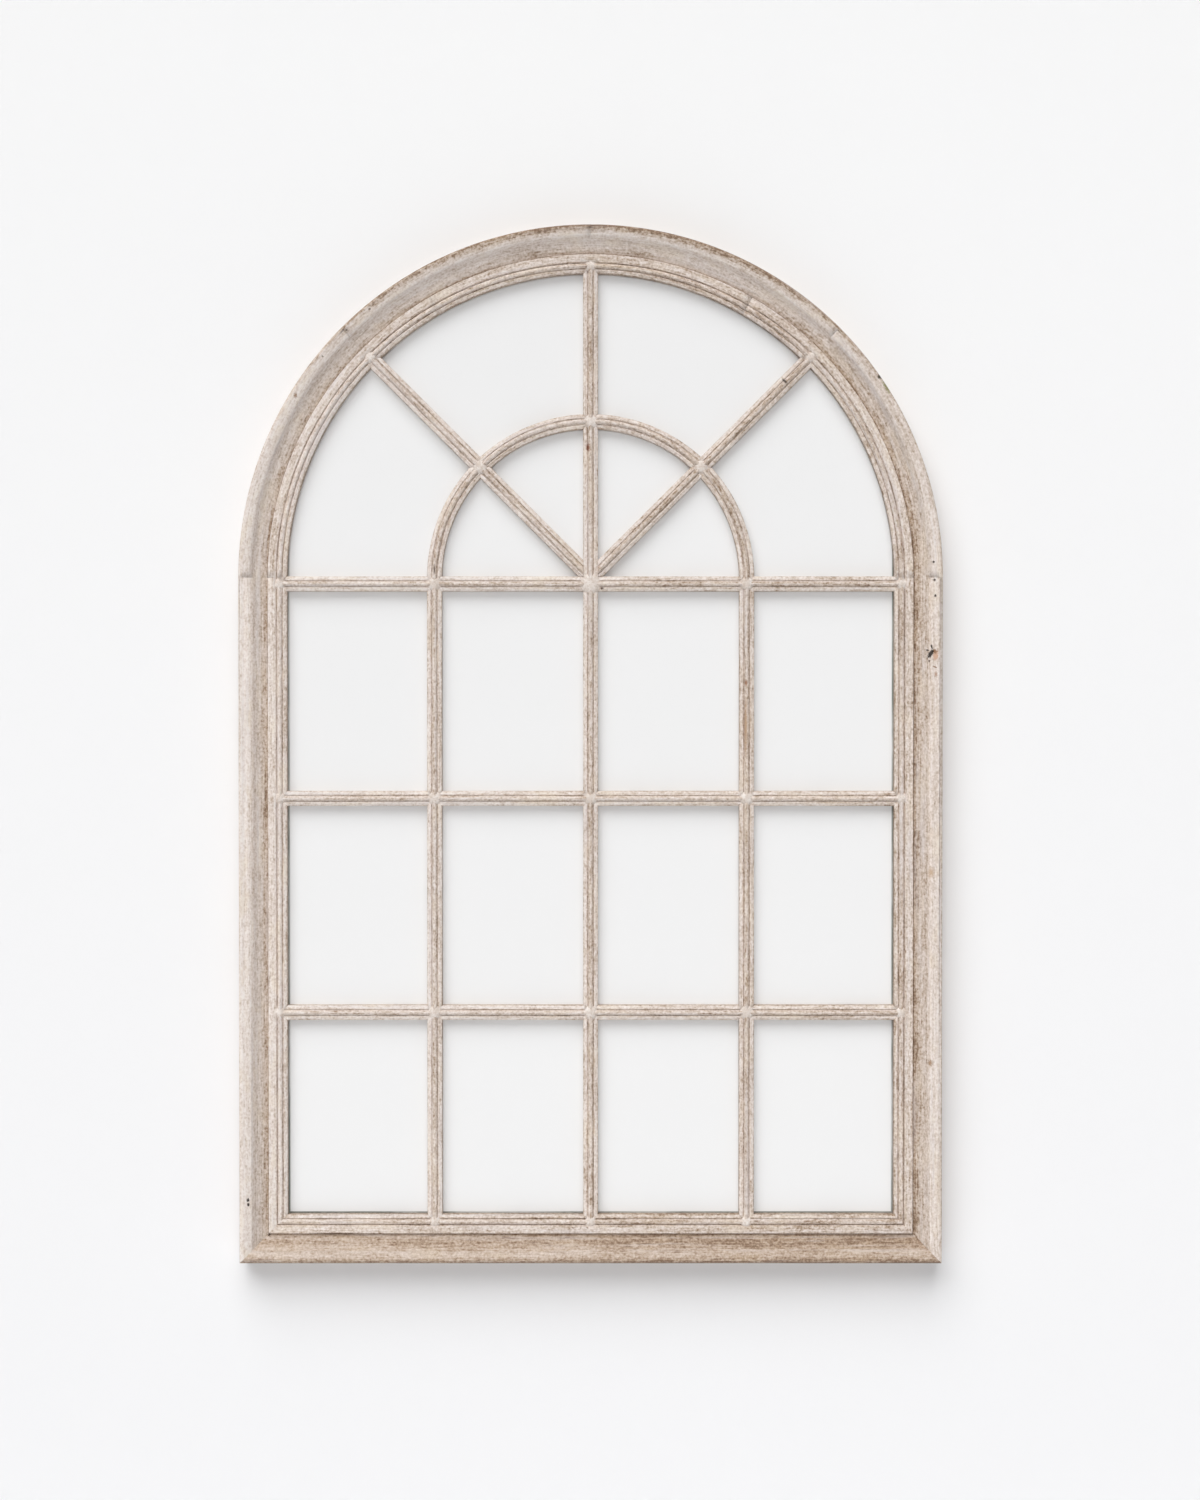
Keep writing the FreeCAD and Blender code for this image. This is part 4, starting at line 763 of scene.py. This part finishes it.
wiring = Wiring("hardboard")
place = wiring.add("TexCoord").outputs["Object"]
fibres = wiring.noise(place, 900, detail=3)
clouds = wiring.noise(place, 45, detail=6)
parts = wiring.add("SeparateXYZ", {0: place}).outputs
meshAcross = wiring.math("SINE", wiring.math("MULTIPLY", parts["X"], boardLook["weave"]))
meshUp = wiring.math("SINE", wiring.math("MULTIPLY", parts["Z"], boardLook["weave"]))
screen = wiring.math("MULTIPLY", meshAcross, meshUp)
tone = wiring.math("ADD", wiring.span(fibres, 0.3, 0.7, 0, 0.7), wiring.span(clouds, 0.3, 0.7, 0, 0.3))
colour = wiring.mix(tone, boardLook["dark"], boardLook["light"])
coat("backing_board", wiring.finish(colour, wiring.span(fibres, 0.3, 0.7, 0.7, 0.9),
                                    wiring.math("MULTIPLY_ADD", screen, 0.5, fibres), bump=(0.4, 0.0004)))

# beech for the loose tongues, zinc-plated steel and rubber for the rest

wiring = Wiring("beech")
place = wiring.add("TexCoord").outputs["Object"]
flecks = wiring.noise(wiring.add("Mapping", {"Vector": place, "Scale": (300, 300, 60)}).outputs[0], 1.0)
colour = wiring.mix(wiring.span(flecks, 0.3, 0.7), shade(206, 170, 128), shade(180, 140, 100))
beech = wiring.finish(colour, 0.6, flecks, bump=(0.3, 0.0003))

wiring = Wiring("zincSteel")
place = wiring.add("TexCoord").outputs["Object"]
spangle = wiring.add("TexVoronoi", {"Vector": place, "Scale": 520}).outputs["Distance"]
scratches = wiring.noise(wiring.add("Mapping", {"Vector": place, "Scale": (2600, 2600, 180)}).outputs[0], 1.0)
colour = wiring.mix(wiring.span(spangle, 0.0, 0.8), shade(198, 200, 203), shade(176, 179, 184))
colour = wiring.mix(wiring.span(scratches, 0.6, 0.75, 0, 0.35), colour, shade(120, 121, 124))
zinc = wiring.finish(colour, wiring.span(scratches, 0.3, 0.7, 0.26, 0.42), scratches,
                     bump=(0.15, 0.0001), Metallic=1.0)

wiring = Wiring("rubber")
place = wiring.add("TexCoord").outputs["Object"]
grit = wiring.noise(place, 1400, detail=3)
colour = wiring.mix(wiring.span(grit, 0.3, 0.7), shade(38, 38, 39), shade(58, 58, 60))
rubber = wiring.finish(colour, wiring.span(grit, 0.3, 0.7, 0.6, 0.8), grit, bump=(0.3, 0.0002))

for nodeName in ("head_splines", "sash_head_splines", "corner_splines", "sash_corner_splines"):
    coat(nodeName, beech)
coat("glazing_points", zinc)

# straps and bumpers keep their shapes, with broken edges
fittings = {
    "left_hanger_strap": {"ease": 0.0003, "turn": 30, "coat": zinc},
    "right_hanger_strap": {"ease": 0.0003, "turn": 30, "coat": zinc},
    "wall_bumpers": {"ease": 0.0014, "turn": 30, "coat": rubber},
}


def turnOf(mesh, sides):
    if len(sides) != 2:
        return 0.0
    return mesh.polygons[sides[0]].normal.angle(mesh.polygons[sides[1]].normal, 0.0)


for nodeName, fitting in fittings.items():
    piece = eased(nodeName, nodeName + "_eased", Vector((0, 0, 1)))
    sides = facesByEdge(piece.data)
    roundEdges(
        piece,
        [fitting["ease"] if turnOf(piece.data, sides[edge.index]) > math.radians(fitting["turn"]) else 0.0
         for edge in piece.data.edges],
        2,
    )
    piece.data.materials.append(fitting["coat"])

# the rings: the bends are rounded first, then the whole wire is made round
ringLook = {"bend": 0.0030, "steps": 3, "longest": 0.0035}  # an edge across the wire is shorter than longest

for side in ("left", "right"):
    nodeName = side + "_hanger_ring"
    ring = eased(nodeName, nodeName + "_wire")
    mesh = ring.data
    widths = []
    for edge in mesh.edges:
        length = (mesh.vertices[edge.vertices[0]].co - mesh.vertices[edge.vertices[1]].co).length
        widths.append(ringLook["bend"] if length < ringLook["longest"] else 0.0)
    roundEdges(ring, widths, ringLook["steps"])
    makeActive(ring)
    rounder = ring.modifiers.new("rounder", "SUBSURF")
    rounder.levels = rounder.render_levels = 2
    bpy.ops.object.modifier_apply(modifier=rounder.name)
    bpy.ops.object.shade_smooth()
    mesh.materials.append(zinc)

# pan-head screws with a cross recess, through each strap
screwLook = {
    "across": 0.435, "heights": (0.756, 0.734), "seat": 0.0180,
    "headRadius": 0.0033, "headHeight": 0.0021, "headEase": 0.0008,
    "shankRadius": 0.0016, "shankLength": 0.0105, "pointLength": 0.0015,
    "slotWidth": 0.0009, "slotLength": 0.0036, "slotDepth": 0.0011,
}


def panScrew(x, z):
    deselectAll()
    bpy.ops.mesh.primitive_cylinder_add(
        vertices=32, radius=screwLook["headRadius"], depth=screwLook["headHeight"], end_fill_type="NGON",
        location=(x, screwLook["seat"] + screwLook["headHeight"] / 2, z), rotation=(math.radians(-90), 0, 0),
    )
    screw = bpy.context.object
    bpy.ops.object.transform_apply(location=True, rotation=True, scale=True)
    top = screwLook["seat"] + screwLook["headHeight"]
    for face in screw.data.polygons:
        face.select = face.center.y > top - 0.00001
    bpy.ops.object.mode_set(mode="EDIT")
    bpy.ops.mesh.select_mode(type="FACE")
    bpy.ops.mesh.bevel(offset=screwLook["headEase"], segments=3, affect="EDGES")
    bpy.ops.mesh.select_all(action="DESELECT")
    bpy.ops.object.mode_set(mode="OBJECT")
    for face in screw.data.polygons:
        face.select = face.center.y < screwLook["seat"] + 0.00001
    bpy.ops.object.mode_set(mode="EDIT")
    bpy.ops.mesh.inset(thickness=screwLook["headRadius"] - screwLook["shankRadius"])
    bpy.ops.mesh.extrude_region_move(TRANSFORM_OT_translate={"value": (0, -screwLook["shankLength"], 0)})
    bpy.ops.mesh.extrude_region_move(TRANSFORM_OT_translate={"value": (0, -screwLook["pointLength"], 0)})
    bpy.ops.transform.resize(value=(0.2, 1, 0.2), center_override=(x, 0, z))
    bpy.ops.object.mode_set(mode="OBJECT")
    for length, width in ((screwLook["slotLength"], screwLook["slotWidth"]),
                          (screwLook["slotWidth"], screwLook["slotLength"])):
        deselectAll()
        bpy.ops.mesh.primitive_cube_add(size=1, location=(x, top, z))
        slot = bpy.context.object
        slot.scale = (length, screwLook["slotDepth"] * 2, width)
        bpy.ops.object.transform_apply(location=True, rotation=True, scale=True)
        makeActive(screw)
        recess = screw.modifiers.new("recess", "BOOLEAN")
        recess.operation = "DIFFERENCE"
        recess.solver = "EXACT"
        recess.object = slot
        bpy.ops.object.modifier_apply(modifier=recess.name)
        bpy.data.objects.remove(slot)
    return screw


screws = [panScrew(side * screwLook["across"], z) for side in (-1, 1) for z in screwLook["heights"]]
makeActive(screws[0])
for screw in screws:
    screw.select_set(True)
bpy.ops.object.join()
panScrews = bpy.context.object
panScrews.name = "pan_head_screws"
bpy.ops.object.transform_apply(location=True, rotation=True, scale=True)
bpy.ops.object.shade_smooth_by_angle(angle=math.radians(35))
panScrews.data.materials.append(zinc)
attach(panScrews, bodyOf["hanger_screws"])
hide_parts("hanger_screws")
print("sheets and fittings done")
